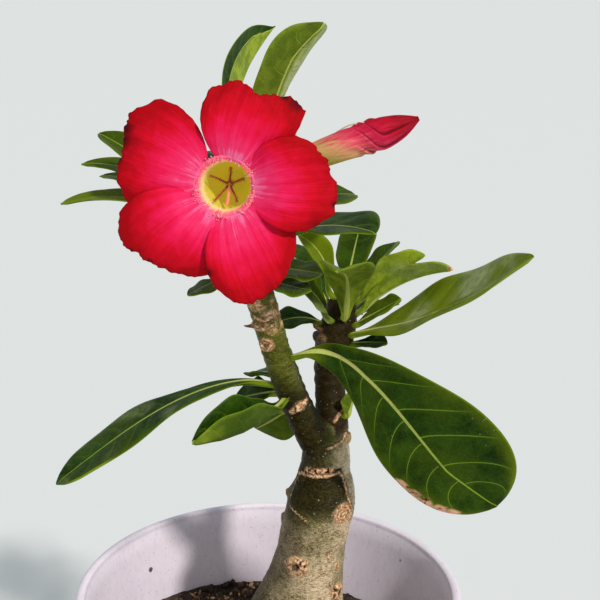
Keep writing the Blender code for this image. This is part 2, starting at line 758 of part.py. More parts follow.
def landed(rings, surface, fallback):
    """The same rings with the first one moved back along their line onto the stem's skin."""
    back = unit(np.mean(rings[0], axis=0) - np.mean(rings[1], axis=0))
    landings = [surface.ray_cast(Vector(point), Vector(back))[0] for point in rings[1]]
    return [np.array([landing or fallback for landing in landings]), *rings[1:]]


def build_leaf(leaf, surface, finish):
    """One leaf, whose foot ends on the stem."""
    axis = stem_axis(leaf.stem, leaf.z)
    outward = direction(leaf.heading, np.clip(leaf.rise, LOWEST_EXIT, -LOWEST_EXIT))
    hit = surface.ray_cast(Vector(axis), Vector(outward))[0]
    across = WIDE_ACROSS if leaf.width > WIDE_LEAF else NARROW_ACROSS
    rings = landed(leaf_rings(leaf, np.array(hit), across), surface, hit)
    return add_object(leaf.name, *lofted(rings, mirrored_from=len(across)), finish)


# The flower


def flower_axes():
    """The flower's outward axis, its right and its up, as seen by someone facing it."""
    out = direction(FLOWER_HEADING, FLOWER_ELEVATION)
    right = unit(np.cross((0.0, 0.0, 1.0), out))
    return out, right, np.cross(out, right)


def funnel_rings(extra):
    """Rings down the funnel, fatter by extra millimetres."""
    out, right, up = flower_axes()
    rings = []
    for depth, radius in FUNNEL_PROFILE:
        turns = 2 * np.pi * np.arange(FUNNEL_SIDES) / FUNNEL_SIDES
        around = right * np.cos(turns)[:, None] + up * np.sin(turns)[:, None]
        rings.append(np.array(FLOWER_CENTRE) - out * depth + around * (radius + extra))
    return rings


def funnel():
    """The funnel's wall, open at its mouth and closed at its foot."""
    out, _, _ = flower_axes()
    inner = funnel_rings(0.0)
    outer = funnel_rings(FUNNEL_WALL)
    outer[-1] = outer[-1] - out * FUNNEL_WALL
    return add_object("funnel_part", *lofted([*outer[::-1], *inner]))


def lobe_part(lobe):
    """One lobe: a fan-shaped blade that flares from the throat and lies over its neighbour."""
    out, right, up = flower_axes()
    turn = np.radians(lobe.angle)
    ray = right * np.cos(turn) + up * np.sin(turn)
    side = -right * np.sin(turn) + up * np.cos(turn)
    rho = np.linspace(0, 1, LOBE_RING_ROWS + 1)[:, None]
    t = np.linspace(-1, 1, LOBE_RING_COLUMNS + 1)[None, :]
    foot_width = THROAT_RADIUS * np.tan(np.pi / 5) * 0.98
    opening = np.sin(np.pi / 2 * np.clip(rho / LOBE_SHOULDER, 0, 1)) ** LOBE_FULLNESS
    half = foot_width + (lobe.width / 2 - foot_width) * opening
    reach = lobe.length * rho * (1 - lobe.cut * np.abs(t) ** LOBE_CORNER) + lobe.skew * rho * t
    reach = reach + THROAT_RADIUS - GAP - 0.55 * (1 - rho) * t**2
    flare = LOBE_RISE * (1 - (1 - rho) ** 2) - LOBE_CURL * rho**2.2
    over = ease(rho / 0.4) * (lobe.lift + lobe.tilt * t)
    ripple = LOBE_WAVE * np.sin(5.0 * t + lobe.angle) * rho**3
    height = flare + over + ripple
    upper = (
        np.array(FLOWER_CENTRE)
        + ray * reach[..., None]
        + side * (half * t)[..., None]
        + out * height[..., None]
    )
    skin = np.cross(np.gradient(upper, axis=0), np.gradient(upper, axis=1))
    skin /= np.linalg.norm(skin, axis=2)[..., None]
    lower = upper - skin * LOBE_THICKNESS
    rings = [np.vstack([top, under[::-1]]) for top, under in zip(upper, lower)]
    return add_object("lobe_part", *lofted(rings, mirrored_from=t.size))


def build_corolla():
    """The corolla, grown as one piece: the funnel and its five lobes."""
    parts = [funnel(), *(lobe_part(lobe) for lobe in LOBES)]
    return joined("corolla", parts, material("crimson", CRIMSON))


def build_anthers():
    """The cone of anthers, seated in the funnel's foot, and the five tails that spread from it."""
    out, right, up = flower_axes()
    centre = np.array(FLOWER_CENTRE)
    foot = centre - out * ANTHER_CONE_DEPTH
    tip = foot + out * ANTHER_CONE_LENGTH
    middle = (foot + tip) / 2
    seat_radius = np.interp(ANTHER_CONE_DEPTH, *zip(*FUNNEL_PROFILE)) - 1.2 * GAP
    cone = [(*foot, seat_radius), (*middle, ANTHER_CONE_RADIUS), (*tip, 0.7)]
    parts = [tube("cone_part", cone, 2 * ANTHER_TAIL_SIDES)]
    for i in range(ANTHER_TAILS):
        turn = 2 * np.pi * (i + 0.25) / ANTHER_TAILS
        away = right * np.cos(turn) + up * np.sin(turn)
        knots = [
            (*(tip - out * 1.5), ANTHER_TAIL_RADIUS),
            (*(tip + out * 0.8 + away * 1.2), ANTHER_TAIL_RADIUS),
            (*(tip + out * 2.4 + away * 3.4), ANTHER_TAIL_RADIUS),
            (*(tip + out * 4.6 + away * 4.9), ANTHER_TAIL_RADIUS * 0.5),
        ]
        parts.append(tube("tail_part", knots, ANTHER_TAIL_SIDES, per_span=2))
    return joined("anthers", parts, material("anther_red", ANTHER_RED))


def build_calyx(name, stem_point, seat, axis, stalk_radius, cup_radius, surface):
    """A stalk from the stem with a cup and five pointed sepals round a tube's base.

    stem_point is inside the stem where the stalk grows, seat the middle of the base of the
    tube that stands in the cup, and axis the way that the tube points.
    """
    axis = unit(axis)
    right = unit(np.cross((0.0, 0.0, 1.0), axis))
    up = np.cross(axis, right)
    below = seat - axis * 2 * GAP
    top = below - axis * 0.85 * CUP_DEPTH
    bend = (2 * np.array(stem_point) + top - axis * CUP_DEPTH) / 3
    knots = [(*stem_point, stalk_radius), (*bend, stalk_radius), (*top, stalk_radius * 1.2)]
    rings = tube_rings(knots, STALK_SIDES, per_span=3)
    while surface.find_nearest(Vector(rings[1].mean(axis=0)))[3] < 2 * stalk_radius:
        rings = rings[1:]
    stalk = add_object("stalk_part", *lofted(landed(rings, surface, rings[0].mean(axis=0))))
    cup_knots = [(*(below - axis * CUP_DEPTH), cup_radius * 0.55), (*below, cup_radius)]
    cup = tube("cup_part", cup_knots, CUP_SIDES, per_span=2)
    parts = [cup, stalk]
    for i in range(SEPALS):
        turn = 2 * np.pi * (i + 0.5) / SEPALS
        away = right * np.cos(turn) + up * np.sin(turn)
        side = -right * np.sin(turn) + up * np.cos(turn)
        rings = []
        for share in np.linspace(0, 1, SEPAL_STATIONS):
            rise = SEPAL_LENGTH * share - CUP_DEPTH / 2
            clear = cup_radius / 2 + (cup_radius / 2 + 2 * GAP) * ease(share / 0.3)
            centre = below + axis * rise + away * (clear + SEPAL_SPREAD * share**2)
            inner_half = SEPAL_WIDTH / 2 * (1 - share) ** 0.7 + 0.2
            outer_half = 0.7 * inner_half
            outer = centre + away * SEPAL_THICKNESS
            rings.append(
                [
                    centre - side * inner_half,
                    centre + side * inner_half,
                    outer + side * outer_half,
                    outer - side * outer_half,
                ]
            )
        parts.append(add_object("sepal_part", *lofted(rings)))
    return joined(name, parts, material("calyx_green", CALYX_GREEN))


# The bud


def build_bud():
    """The closed bud: a pale tube whose rolled lobes overlap in a spiral."""
    curve = smooth_curve(BUD_PATH, BUD_STEPS)
    shares = np.linspace(0, 1, len(curve))
    radii = np.interp(shares, *zip(*BUD_PROFILE))
    turns = 2 * np.pi * np.arange(BUD_SIDES) / BUD_SIDES
    rings = []
    for share, centre, radius, (side, up) in zip(shares, curve, radii, carried_frames(curve)):
        spiral = turns + 2 * np.pi * BUD_TURNS * share
        step = 1 - (5 * spiral / (2 * np.pi)) % 1
        ridge = BUD_STEP * (step - 0.5) * ease((share - 0.42) / 0.2) * ease((1 - share) / 0.2)
        around = side * np.cos(turns)[:, None] + up * np.sin(turns)[:, None]
        rings.append(centre + around * (radius + ridge)[:, None])
    return add_object("bud", *lofted(rings), material("crimson", CRIMSON))


def main():
    """Clear the scene and build every piece."""
    for old in list(bpy.data.objects):
        bpy.data.objects.remove(old)
    build_pot()
    build_soil()
    build_trunk()
    surface = stem_surface()
    green = material("leaf_green", LEAF_GREEN)
    for leaf in LEAVES:
        build_leaf(leaf, surface, green)
    build_corolla()
    build_anthers()
    out, _, _ = flower_axes()
    flower_seat = np.array(FLOWER_CENTRE) - out * (FUNNEL_PROFILE[-1][0] + FUNNEL_WALL)
    build_calyx("flower_calyx", FLOWER_STALK_ROOT, flower_seat, out, 1.3, 2.5, surface)
    build_bud()
    bud_curve = smooth_curve(BUD_PATH, BUD_STEPS)
    bud_axis = bud_curve[1] - bud_curve[0]
    build_calyx("bud_calyx", BUD_STALK_ROOT, bud_curve[0], bud_axis, 1.1, 1.9, surface)


main()
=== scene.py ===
"""The looks of a potted desert rose: a lilac pot with potting mix, a swollen stem with two
branches, leathery leaves, one open red flower and one bud.

Sizes are in millimetres and MM turns them to metres. Angles are in degrees. A heading of 0
points along +X, 90 along +Y. Each class repeats the driving sizes of its solids.
"""

import itertools
import json
import logging
import math
from dataclasses import dataclass, field
from enum import Enum
from typing import Sequence, Union

import bmesh
import bpy
import numpy as np
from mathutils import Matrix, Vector
from mathutils.bvhtree import BVHTree

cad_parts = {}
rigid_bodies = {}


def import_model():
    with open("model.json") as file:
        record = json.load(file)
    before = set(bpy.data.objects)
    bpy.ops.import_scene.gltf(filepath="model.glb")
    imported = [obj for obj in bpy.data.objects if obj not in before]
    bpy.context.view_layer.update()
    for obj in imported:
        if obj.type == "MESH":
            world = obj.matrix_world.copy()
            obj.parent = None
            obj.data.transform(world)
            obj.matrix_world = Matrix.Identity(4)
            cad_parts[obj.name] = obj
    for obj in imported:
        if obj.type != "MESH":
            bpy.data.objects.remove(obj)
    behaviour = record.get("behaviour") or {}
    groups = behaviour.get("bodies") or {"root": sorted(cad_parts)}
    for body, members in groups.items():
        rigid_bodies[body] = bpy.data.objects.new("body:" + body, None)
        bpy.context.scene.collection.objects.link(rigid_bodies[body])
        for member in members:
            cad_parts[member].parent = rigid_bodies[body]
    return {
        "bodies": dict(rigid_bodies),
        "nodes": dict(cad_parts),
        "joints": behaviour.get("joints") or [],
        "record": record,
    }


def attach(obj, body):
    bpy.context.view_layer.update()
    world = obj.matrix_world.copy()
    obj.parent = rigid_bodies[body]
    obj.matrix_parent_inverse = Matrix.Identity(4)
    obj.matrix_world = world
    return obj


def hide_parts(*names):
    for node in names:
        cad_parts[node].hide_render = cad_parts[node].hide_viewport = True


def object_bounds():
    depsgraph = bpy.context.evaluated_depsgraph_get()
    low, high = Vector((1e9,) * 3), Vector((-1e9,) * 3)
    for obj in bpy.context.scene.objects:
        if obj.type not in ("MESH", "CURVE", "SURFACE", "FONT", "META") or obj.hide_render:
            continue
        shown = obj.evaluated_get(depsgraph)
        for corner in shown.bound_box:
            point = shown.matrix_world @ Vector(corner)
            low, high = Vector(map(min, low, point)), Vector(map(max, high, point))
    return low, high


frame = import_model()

LOG = logging.getLogger("desert_rose")
MM = 0.001
# Clear gap between pieces, and the thinnest radius of a tube, in millimetres
GAP = 0.3
THINNEST = 0.35
BLACK = (0.0, 0.0, 0.0)
UP = (0.0, 0.0, 1.0)
CAD_BOX = [list(corner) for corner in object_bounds()]

Array = np.ndarray
Socket = bpy.types.NodeSocket
Material = bpy.types.Material
Piece = bpy.types.Object
Rows = Sequence[Sequence[float]]
Spot = tuple[float, float, float]
Colour = tuple[float, float, float]
Number = Union[float, Socket]
Paint = Union[Colour, Socket]


# Shared numbers and curves


def ease(x: Array) -> Array:
    """A smooth step from 0 to 1."""
    x = np.clip(x, 0.0, 1.0)
    return x * x * (3 - 2 * x)


def unit(vector: Sequence[float]) -> Array:
    """The vector at length one."""
    return np.asarray(vector, float) / np.linalg.norm(vector)


def units(vectors: Array) -> Array:
    """Many vectors at length one, along the last axis."""
    return vectors / np.maximum(np.linalg.norm(vectors, axis=-1, keepdims=True), 1e-12)


def direction(heading: float, elevation: float) -> Array:
    """A unit vector from a heading and an elevation in degrees."""
    h, e = np.radians(heading), np.radians(elevation)
    return np.array([np.cos(e) * np.cos(h), np.cos(e) * np.sin(h), np.sin(e)])


def smooth_curve(knots: Rows, per_span: int) -> Array:
    """Points on a Catmull-Rom curve through knots.

    Args:
        knots: The points, whose columns may include a radius.
        per_span: How many steps lie between two knots.

    Returns:
        One row for each point of the curve.
    """
    rows = np.array(knots, float)
    padded = np.vstack([2 * rows[0] - rows[1], rows, 2 * rows[-1] - rows[-2]])
    found = []
    for i in range(1, len(padded) - 2):
        p0, p1, p2, p3 = padded[i - 1 : i + 3]
        for step in range(per_span):
            t = step / per_span
            line = 2 * p1 + (p2 - p0) * t + (2 * p0 - 5 * p1 + 4 * p2 - p3) * t * t
            found.append(0.5 * (line + (3 * p1 - p0 - 3 * p2 + p3) * t**3))
    return np.array([*found, padded[-2]])


def carried_frames(path: Array) -> list[tuple[Array, Array]]:
    """A side vector and an up vector at each point of a path, carried along without spin.

    Args:
        path: The points, one row each.

    Returns:
        The two vectors at each point.
    """
    tangents = units(np.gradient(path, axis=0))
    side = unit(np.cross(tangents[0], (0.0, 1.0, 0.0)))
    found = []
    for tangent in tangents:
        side = unit(side - tangent * (side @ tangent))
        found.append((side, np.cross(tangent, side)))
    return found


def across(axis: Array) -> tuple[Array, Array]:
    """The level vector to the right of an axis, for someone who faces it, and the one upwards."""
    right = unit(np.cross(UP, axis))
    return right, np.cross(axis, right)


def distance(points: Array, path: Array) -> Array:
    """How far places lie from the nearest point of a path."""
    return np.min(np.linalg.norm(points[:, None, :] - path[None], axis=2), axis=1)


def value_noise(points: Array, cell: float, seed: int = 0) -> Array:
    """Smooth noise from -1 to 1.

    Args:
        points: Places in millimetres, one row each.
        cell: Width of one lump in millimetres.
        seed: Chooses the pattern.

    Returns:
        One value for each place.
    """
    scaled = np.asarray(points, float) / cell + 31.7 * (seed + 1)
    base = np.floor(scaled).astype(np.int64)
    part = ease(scaled - base)
    total = np.zeros(len(scaled))
    for corner in itertools.product((0, 1), repeat=3):
        at = base + corner
        mixed = (at[:, 0] * 73856093) ^ (at[:, 1] * 19349663) ^ (at[:, 2] * 83492791)
        mixed = (mixed ^ (seed * 7919 + 104729)) & 0x7FFFFFFF
        mixed = ((mixed ^ (mixed >> 13)) * 60493) & 0x7FFFFFFF
        mixed = ((mixed ^ (mixed >> 15)) * 31183) & 0x7FFFFFFF
        weight = np.prod(np.where(corner, part, 1 - part), axis=1)
        total += weight * ((mixed >> 7) & 0xFFFF) / 32767.5
    return total - 1.0


# Meshes


def linked(name: str, data: bpy.types.ID) -> Piece:
    """A new object in the scene."""
    made = bpy.data.objects.new(name, data)
    bpy.context.scene.collection.objects.link(made)
    return made


def evaluated(piece: Piece) -> bpy.types.Mesh:
    """A new mesh with an object's modifiers applied."""
    graph = bpy.context.evaluated_depsgraph_get()
    return bpy.data.meshes.new_from_object(piece.evaluated_get(graph))


@dataclass
class Shell:
    """A mesh in the making: points in millimetres, faces and values that ride on the points."""

    points: Array
    faces: list[tuple[int, ...]]
    values: dict[str, Array] = field(default_factory=dict)
    maps: dict[str, Array] = field(default_factory=dict)

    @staticmethod
    def empty() -> "Shell":
        """A shell with nothing in it."""
        return Shell(np.zeros((0, 3)), [])

    def __add__(self, other: "Shell") -> "Shell":
        """Both shells in one; both have the same values and maps, unless one is empty."""
        if not len(self.points):
            return other
        shift = len(self.points)
        return Shell(
            np.vstack([self.points, other.points]),
            self.faces + [tuple(i + shift for i in face) for face in other.faces],
            {k: np.concatenate([v, other.values[k]]) for k, v in self.values.items()},
            {k: np.vstack([v, other.maps[k]]) for k, v in self.maps.items()},
        )

    def made(self, name: str, finish: Material, outwards: bool = True) -> Piece:
        """Turns the shell into an object of the scene.

        Args:
            name: The object's name.
            finish: The material of every face.
            outwards: Whether faces are turned outwards first.

        Returns:
            The new object.
        """
        mesh = bpy.data.meshes.new(name)
        inside = np.clip(self.points * MM, *CAD_BOX)
        mesh.from_pydata(inside.tolist(), [], self.faces)
        if outwards:
            form = bmesh.new()
            form.from_mesh(mesh)
            bmesh.ops.recalc_face_normals(form, faces=form.faces)
            form.to_mesh(mesh)
            form.free()
        corners = np.zeros(len(mesh.loops), np.int32)
        mesh.loops.foreach_get("vertex_index", corners)
        for key, value in self.maps.items():
            layer = mesh.uv_layers.new(name=key)
            layer.uv.foreach_set("vector", value[corners].astype(np.float32).ravel())
        for key, value in self.values.items():
            layer = mesh.attributes.new(key, "FLOAT", "POINT")
            layer.data.foreach_set("value", value.astype(np.float32))
        mesh.shade_smooth()
        mesh.materials.append(finish)
        return linked(name, mesh)


def lofted(rings: Sequence[Array], capped: bool = True) -> Shell:
    """A closed skin through rings of equal count, with a point in the middle of each end.

    Args:
        rings: The rings, each an array of points.
        capped: Whether the ends are closed.

    Returns:
        The shell, with its share of the way along in the value "along".
    """
    count = len(rings[0])
    points = np.vstack(rings)
    along = np.repeat(np.linspace(0, 1, len(rings)), count)
    faces: list[tuple[int, ...]] = []
    for row in range(len(rings) - 1):
        low, high = row * count, (row + 1) * count
        for i in range(count):
            j = (i + 1) % count
            faces.append((low + i, low + j, high + j, high + i))
    if capped:
        for share, start in ((0.0, 0), (1.0, (len(rings) - 1) * count)):
            points = np.vstack([points, points[start : start + count].mean(axis=0)])
            along = np.append(along, share)
            middle = len(points) - 1
            faces += [(start + i, start + (i + 1) % count, middle) for i in range(count)]
    return Shell(points, faces, {"along": along})


def spokes(
    sides: int, right: Sequence[float] = (1.0, 0.0, 0.0), up: Sequence[float] = (0.0, 1.0, 0.0)
) -> Array:
    """Unit spokes round a middle, from one vector towards another that is square to it."""
    turns = 2 * np.pi * np.arange(sides) / sides
    return np.array(right) * np.cos(turns)[:, None] + np.array(up) * np.sin(turns)[:, None]


def turned(right: Array, up: Array, angle: float) -> tuple[Array, Array]:
    """The spoke at an angle in radians, and the vector square to it."""
    cos, sin = np.cos(angle), np.sin(angle)
    return right * cos + up * sin, up * cos - right * sin


def levelled(flat: Array, z: Union[float, Array]) -> Array:
    """Flat places at one height, or each at its own."""
    return np.column_stack([flat[:, :2], np.full(len(flat), z)])


def rings_along(path: Array, radii: Sequence, sides: int) -> list[Array]:
    """Rings round a path, each with one radius or with a column of them."""
    frames = carried_frames(path)
    return [at + spokes(sides, *frame) * radius for at, radius, frame in zip(path, radii, frames)]


def tube_rings(knots: Rows, sides: int, per_span: int, extra: float = 0.0) -> list[Array]:
    """Rings round a smooth curve.

    Args:
        knots: Rows of x, y, z and radius.
        sides: Points in each ring.
        per_span: Steps between two knots.
        extra: Millimetres added to the radius.

    Returns:
        A list of rings.
    """
    curve = smooth_curve(knots, per_span)
    rings = rings_along(curve[:, :3], np.maximum(curve[:, 3], THINNEST) + extra, sides)
    rings[-1] = rings[-1] + unit(curve[-1, :3] - curve[-2, :3]) * extra
    return rings


def hair(knots: Rows, sides: int = 5) -> Shell:
    """A thin hair straight from knot to knot, each a row of x, y, z and radius."""
    rows = np.array(knots, float)
    return lofted(rings_along(rows[:, :3], rows[:, 3], sides))


def skin_normals(upper: Array) -> Array:
    """The way a face of rows by columns looks at each of its points."""
    return units(np.cross(np.gradient(upper, axis=0), np.gradient(upper, axis=1)))


def on_both(grid: Array, shape: Sequence[int]) -> Array:
    """The values of a grid, widened to a shape, at the points of a blade's two faces."""
    return np.tile(np.broadcast_to(grid, shape).ravel(), 2)


def bladed(upper: Array, lower: Array) -> Shell:
    """A closed thin blade between two faces.

    Args:
        upper: The upper face, as rows by columns by three.
        lower: The lower face, of the same shape.

    Returns:
        The shell, with 1 on the upper face and 0 on the lower one in the value "upper".
    """
    rows, columns, _ = upper.shape
    count = rows * columns
    number = np.arange(count).reshape(rows, columns)
    low, right = number[:-1, :-1], number[:-1, 1:]
    far, top = number[1:, 1:], number[1:, :-1]
    quads = np.stack([low, right, far, top], axis=-1).reshape(-1, 4)
    faces = [tuple(q) for q in quads.tolist()]
    faces += [tuple(i + count for i in q[::-1]) for q in quads.tolist()]
    edge = [*number[0, :], *number[1:, -1], *number[-1, -2::-1], *number[-2:0:-1, 0]]
    edge = [int(i) for i in edge]
    for a, b in zip(edge, edge[1:] + edge[:1]):
        faces.append((b, a, a + count, b + count))
    points = np.vstack([upper.reshape(-1, 3), lower.reshape(-1, 3)])
    return Shell(points, faces, {"upper": np.repeat([1.0, 0.0], count)})


# The camera


@dataclass(frozen=True)
class Viewpoint:
    """Where the photograph was taken from, and how its pixels fall on the plant."""

    place: Spot = (9.8, -460.5, 379.4)
    pitch: float = 21.06
    focal: float = 1700.0
    picture: float = 600.0
    sensor: float = 36.0

    def build(self) -> Piece:
        """Makes the camera and gives it to the scene.

        Returns:
            The camera.
        """
        camera = linked("camera", bpy.data.cameras.new("camera"))
        camera.data.sensor_width = self.sensor
        camera.data.lens = self.sensor * self.focal / self.picture
        camera.data.clip_start = 0.02
        camera.location = [c * MM for c in self.place]
        camera.rotation_euler = (math.radians(90 - self.pitch), 0, 0)
        bpy.context.scene.camera = camera
        return camera

    def axes(self) -> tuple[Array, Array, Array]:
        """The picture's right, its up and the way the camera looks."""
        pitch = math.radians(self.pitch)
        ahead = np.array([0.0, math.cos(pitch), -math.sin(pitch)])
        return np.array([1.0, 0.0, 0.0]), np.array([0.0, math.sin(pitch), math.cos(pitch)]), ahead

    def pixels(self, points: Array) -> Array:
        """Where points fall in the picture.

        Args:
            points: Places in millimetres, one row each.

        Returns:
            Their columns and rows, from the picture's upper left corner.
        """
        right, up, ahead = self.axes()
        off = points - np.array(self.place)
        scale = self.focal / (off @ ahead)
        middle = self.picture / 2
        return np.stack([middle + off @ right * scale, middle - off @ up * scale], axis=-1)

    def landing(self, column: float, row: float, surface: BVHTree) -> Union[Array, None]:
        """The point of a surface that the picture shows at a pixel.

        Args:
            column: The pixel's place from the left.
            row: Its place from the top.
            surface: What the camera looks at.

        Returns:
            The point, or nothing where the surface isn't met.
        """
        right, up, ahead = self.axes()
        middle = self.picture / 2
        ray = ahead + right * (column - middle) / self.focal + up * (middle - row) / self.focal
        hit = surface.ray_cast(Vector(self.place), Vector(unit(ray)))[0]
        return None if hit is None else np.array(hit)


VIEW = Viewpoint()


# Shader nodes


class Tree:
    """Adds shader nodes to one tree and joins them."""

    def __init__(self, tree: bpy.types.NodeTree) -> None:
        """Takes the tree that the nodes go into."""
        self.tree = tree

    @classmethod
    def material(cls, name: str, **constants: object) -> tuple["Tree", Material]:
        """A new material with the shader's own sockets set.

        Args:
            name: The material's name.
            constants: Values for sockets of the shader, with _ for each space.

        Returns:
            The tree and the material.
        """
        made = bpy.data.materials.new(name)
        made.use_nodes = True
        tree = cls(made.node_tree)
        for key, value in constants.items():
            tree.shader.inputs[key.replace("_", " ")].default_value = value
        return tree, made

    @property
    def shader(self) -> bpy.types.Node:
        """The material's Principled shader."""
        return self.tree.nodes["Principled BSDF"]

    def feed(self, socket: Socket, value: object) -> None:
        """Joins a socket to a socket, or sets it to a number or a colour."""
        if isinstance(value, Socket):
            self.tree.links.new(value, socket)
        elif isinstance(value, tuple) and len(value) == 3 and len(socket.default_value) == 4:
            socket.default_value = (*value, 1.0)
        else:
            socket.default_value = value

    def node(self, kind: str, inputs: dict | None = None, **settings: object) -> bpy.types.Node:
        """A new node.

        Args:
            kind: The node's class.
            inputs: What its sockets, by name or number, are joined to or set to.
            settings: Its own properties.

        Returns:
            The node.
        """
        made = self.tree.nodes.new(kind)
        for key, value in settings.items():
            setattr(made, key, value)
        for key, value in (inputs or {}).items():
            self.feed(made.inputs[key], value)
        return made

    def math(self, operation: str, *values: Number, clamp: bool = False) -> Socket:
        """The result of one sum on up to three numbers."""
        inputs = dict(enumerate(values))
        return self.node("ShaderNodeMath", inputs, operation=operation, use_clamp=clamp).outputs[0]

    def plus(self, a: Number, b: Number) -> Socket:
        """One number plus another."""
        return self.math("ADD", a, b)

    def minus(self, a: Number, b: Number) -> Socket:
        """One number less another."""
        return self.math("SUBTRACT", a, b)

    def times(self, first: Number, *others: Number) -> Socket:
        """A number times one or more others."""
        for other in others:
            first = self.math("MULTIPLY", first, other)
        return first

    def swayed(self, value: Number, by: Number, amount: float, middle: float = 0.5) -> Socket:
        """A value moved by an amount times another one's distance from its middle."""
        return self.plus(value, self.times(self.minus(by, middle), amount))

    def laid(self, under: Paint, over: Paint, mask: Number, share: Number) -> Socket:
        """One colour laid over another, as thick as a mask times a share."""
        return self.mix(self.times(mask, share), under, over)

    def mix(self, share: Number, a: Paint, b: Paint, blend: str = "MIX") -> Socket:
        """Colour a at share 0 and colour b at share 1."""
        inputs = {0: share, 6: a, 7: b}
        made = self.node("ShaderNodeMix", inputs, data_type="RGBA", blend_type=blend)
        return made.outputs[2]

    def step(
        self, value: Number, low: float, high: float, to_low: float = 0.0, to_high: float = 1.0
    ) -> Socket:
        """A smooth step from to_low to to_high, as a value goes from low to high."""
        inputs = {"Value": value, 1: low, 2: high, 3: to_low, 4: to_high}
        made = self.node("ShaderNodeMapRange", inputs, interpolation_type="SMOOTHSTEP")
        return made.outputs[0]

    def noise(self, vector: Socket, scale: Number, detail: float = 2.0, distortion: float = 0.0) -> Socket:
        """Noise from 0 to 1."""
        inputs = {"Vector": vector, "Scale": scale, "Detail": detail, "Distortion": distortion}
        return self.node("ShaderNodeTexNoise", inputs).outputs[0]

    def ramp(self, share: Number, stops: Sequence[tuple[float, Colour]]) -> Socket:
        """A colour along a row of stops.

        Args:
            share: Where along the row to look.
            stops: The place and the colour of each stop, from first to last.

        Returns:
            The colour.
        """
        made = self.node("ShaderNodeValToRGB", {0: share})
        while len(made.color_ramp.elements) < len(stops):
            made.color_ramp.elements.new(0.5)
        for element, (place, _) in zip(made.color_ramp.elements, stops):
            element.position = place
        for element, (_, colour) in zip(made.color_ramp.elements, stops):
            element.color = (*colour, 1.0)
        return made.outputs[0]

    def carried(self, name: str) -> Socket:
        """A value that rides on the mesh."""
        return self.node("ShaderNodeAttribute", attribute_name=name).outputs["Fac"]

    def chart(self, name: str) -> tuple[Socket, Socket, Socket]:
        """A map of the mesh: its vector, and its two coordinates."""
        made = self.node("ShaderNodeUVMap", uv_map=name)
        parts = self.node("ShaderNodeSeparateXYZ", {0: made.outputs[0]})
        return made.outputs[0], parts.outputs[0], parts.outputs[1]

    def place(self, stretch: Colour = (1.0, 1.0, 1.0)) -> Socket:
        """The place on the object, stretched along its axes."""
        spot = self.node("ShaderNodeTexCoord").outputs["Object"]
        return self.stretched(spot, stretch)

    def stretched(self, vector: Socket, stretch: Colour) -> Socket:
        """A vector times another."""
        inputs = {0: vector, 1: stretch}
        return self.node("ShaderNodeVectorMath", inputs, operation="MULTIPLY").outputs[0]

    def effect(self, effect: "Effect", vector: Socket, scale: float, share: float) -> Socket:
        """One of the shared effects, placed in this tree with its own values."""
        inputs = {"Vector": vector, "Scale": scale, "Share": share}
        return self.node("ShaderNodeGroup", inputs, node_tree=effect.group()).outputs[0]

    def bump(self, height: Number, depth: float, strength: float = 1.0) -> None:
        """Lets a height in units of depth, in millimetres, shape the shader's normal."""
        inputs = {"Height": height, "Distance": depth * MM, "Strength": strength}
        made = self.node("ShaderNodeBump", inputs)
        self.feed(self.shader.inputs["Normal"], made.outputs[0])

    def paint(self, colour: Paint, roughness: Union[Number, None] = None) -> None:
        """Joins the colour and the roughness to the shader."""
        self.feed(self.shader.inputs["Base Color"], colour)
        if roughness is not None:
            self.feed(self.shader.inputs["Roughness"], roughness)

    def glow(self, colour: Paint, strength: float) -> None:
        """Gives the shader a light of its own."""
        self.feed(self.shader.inputs["Emission Color"], colour)
        self.shader.inputs["Emission Strength"].default_value = strength


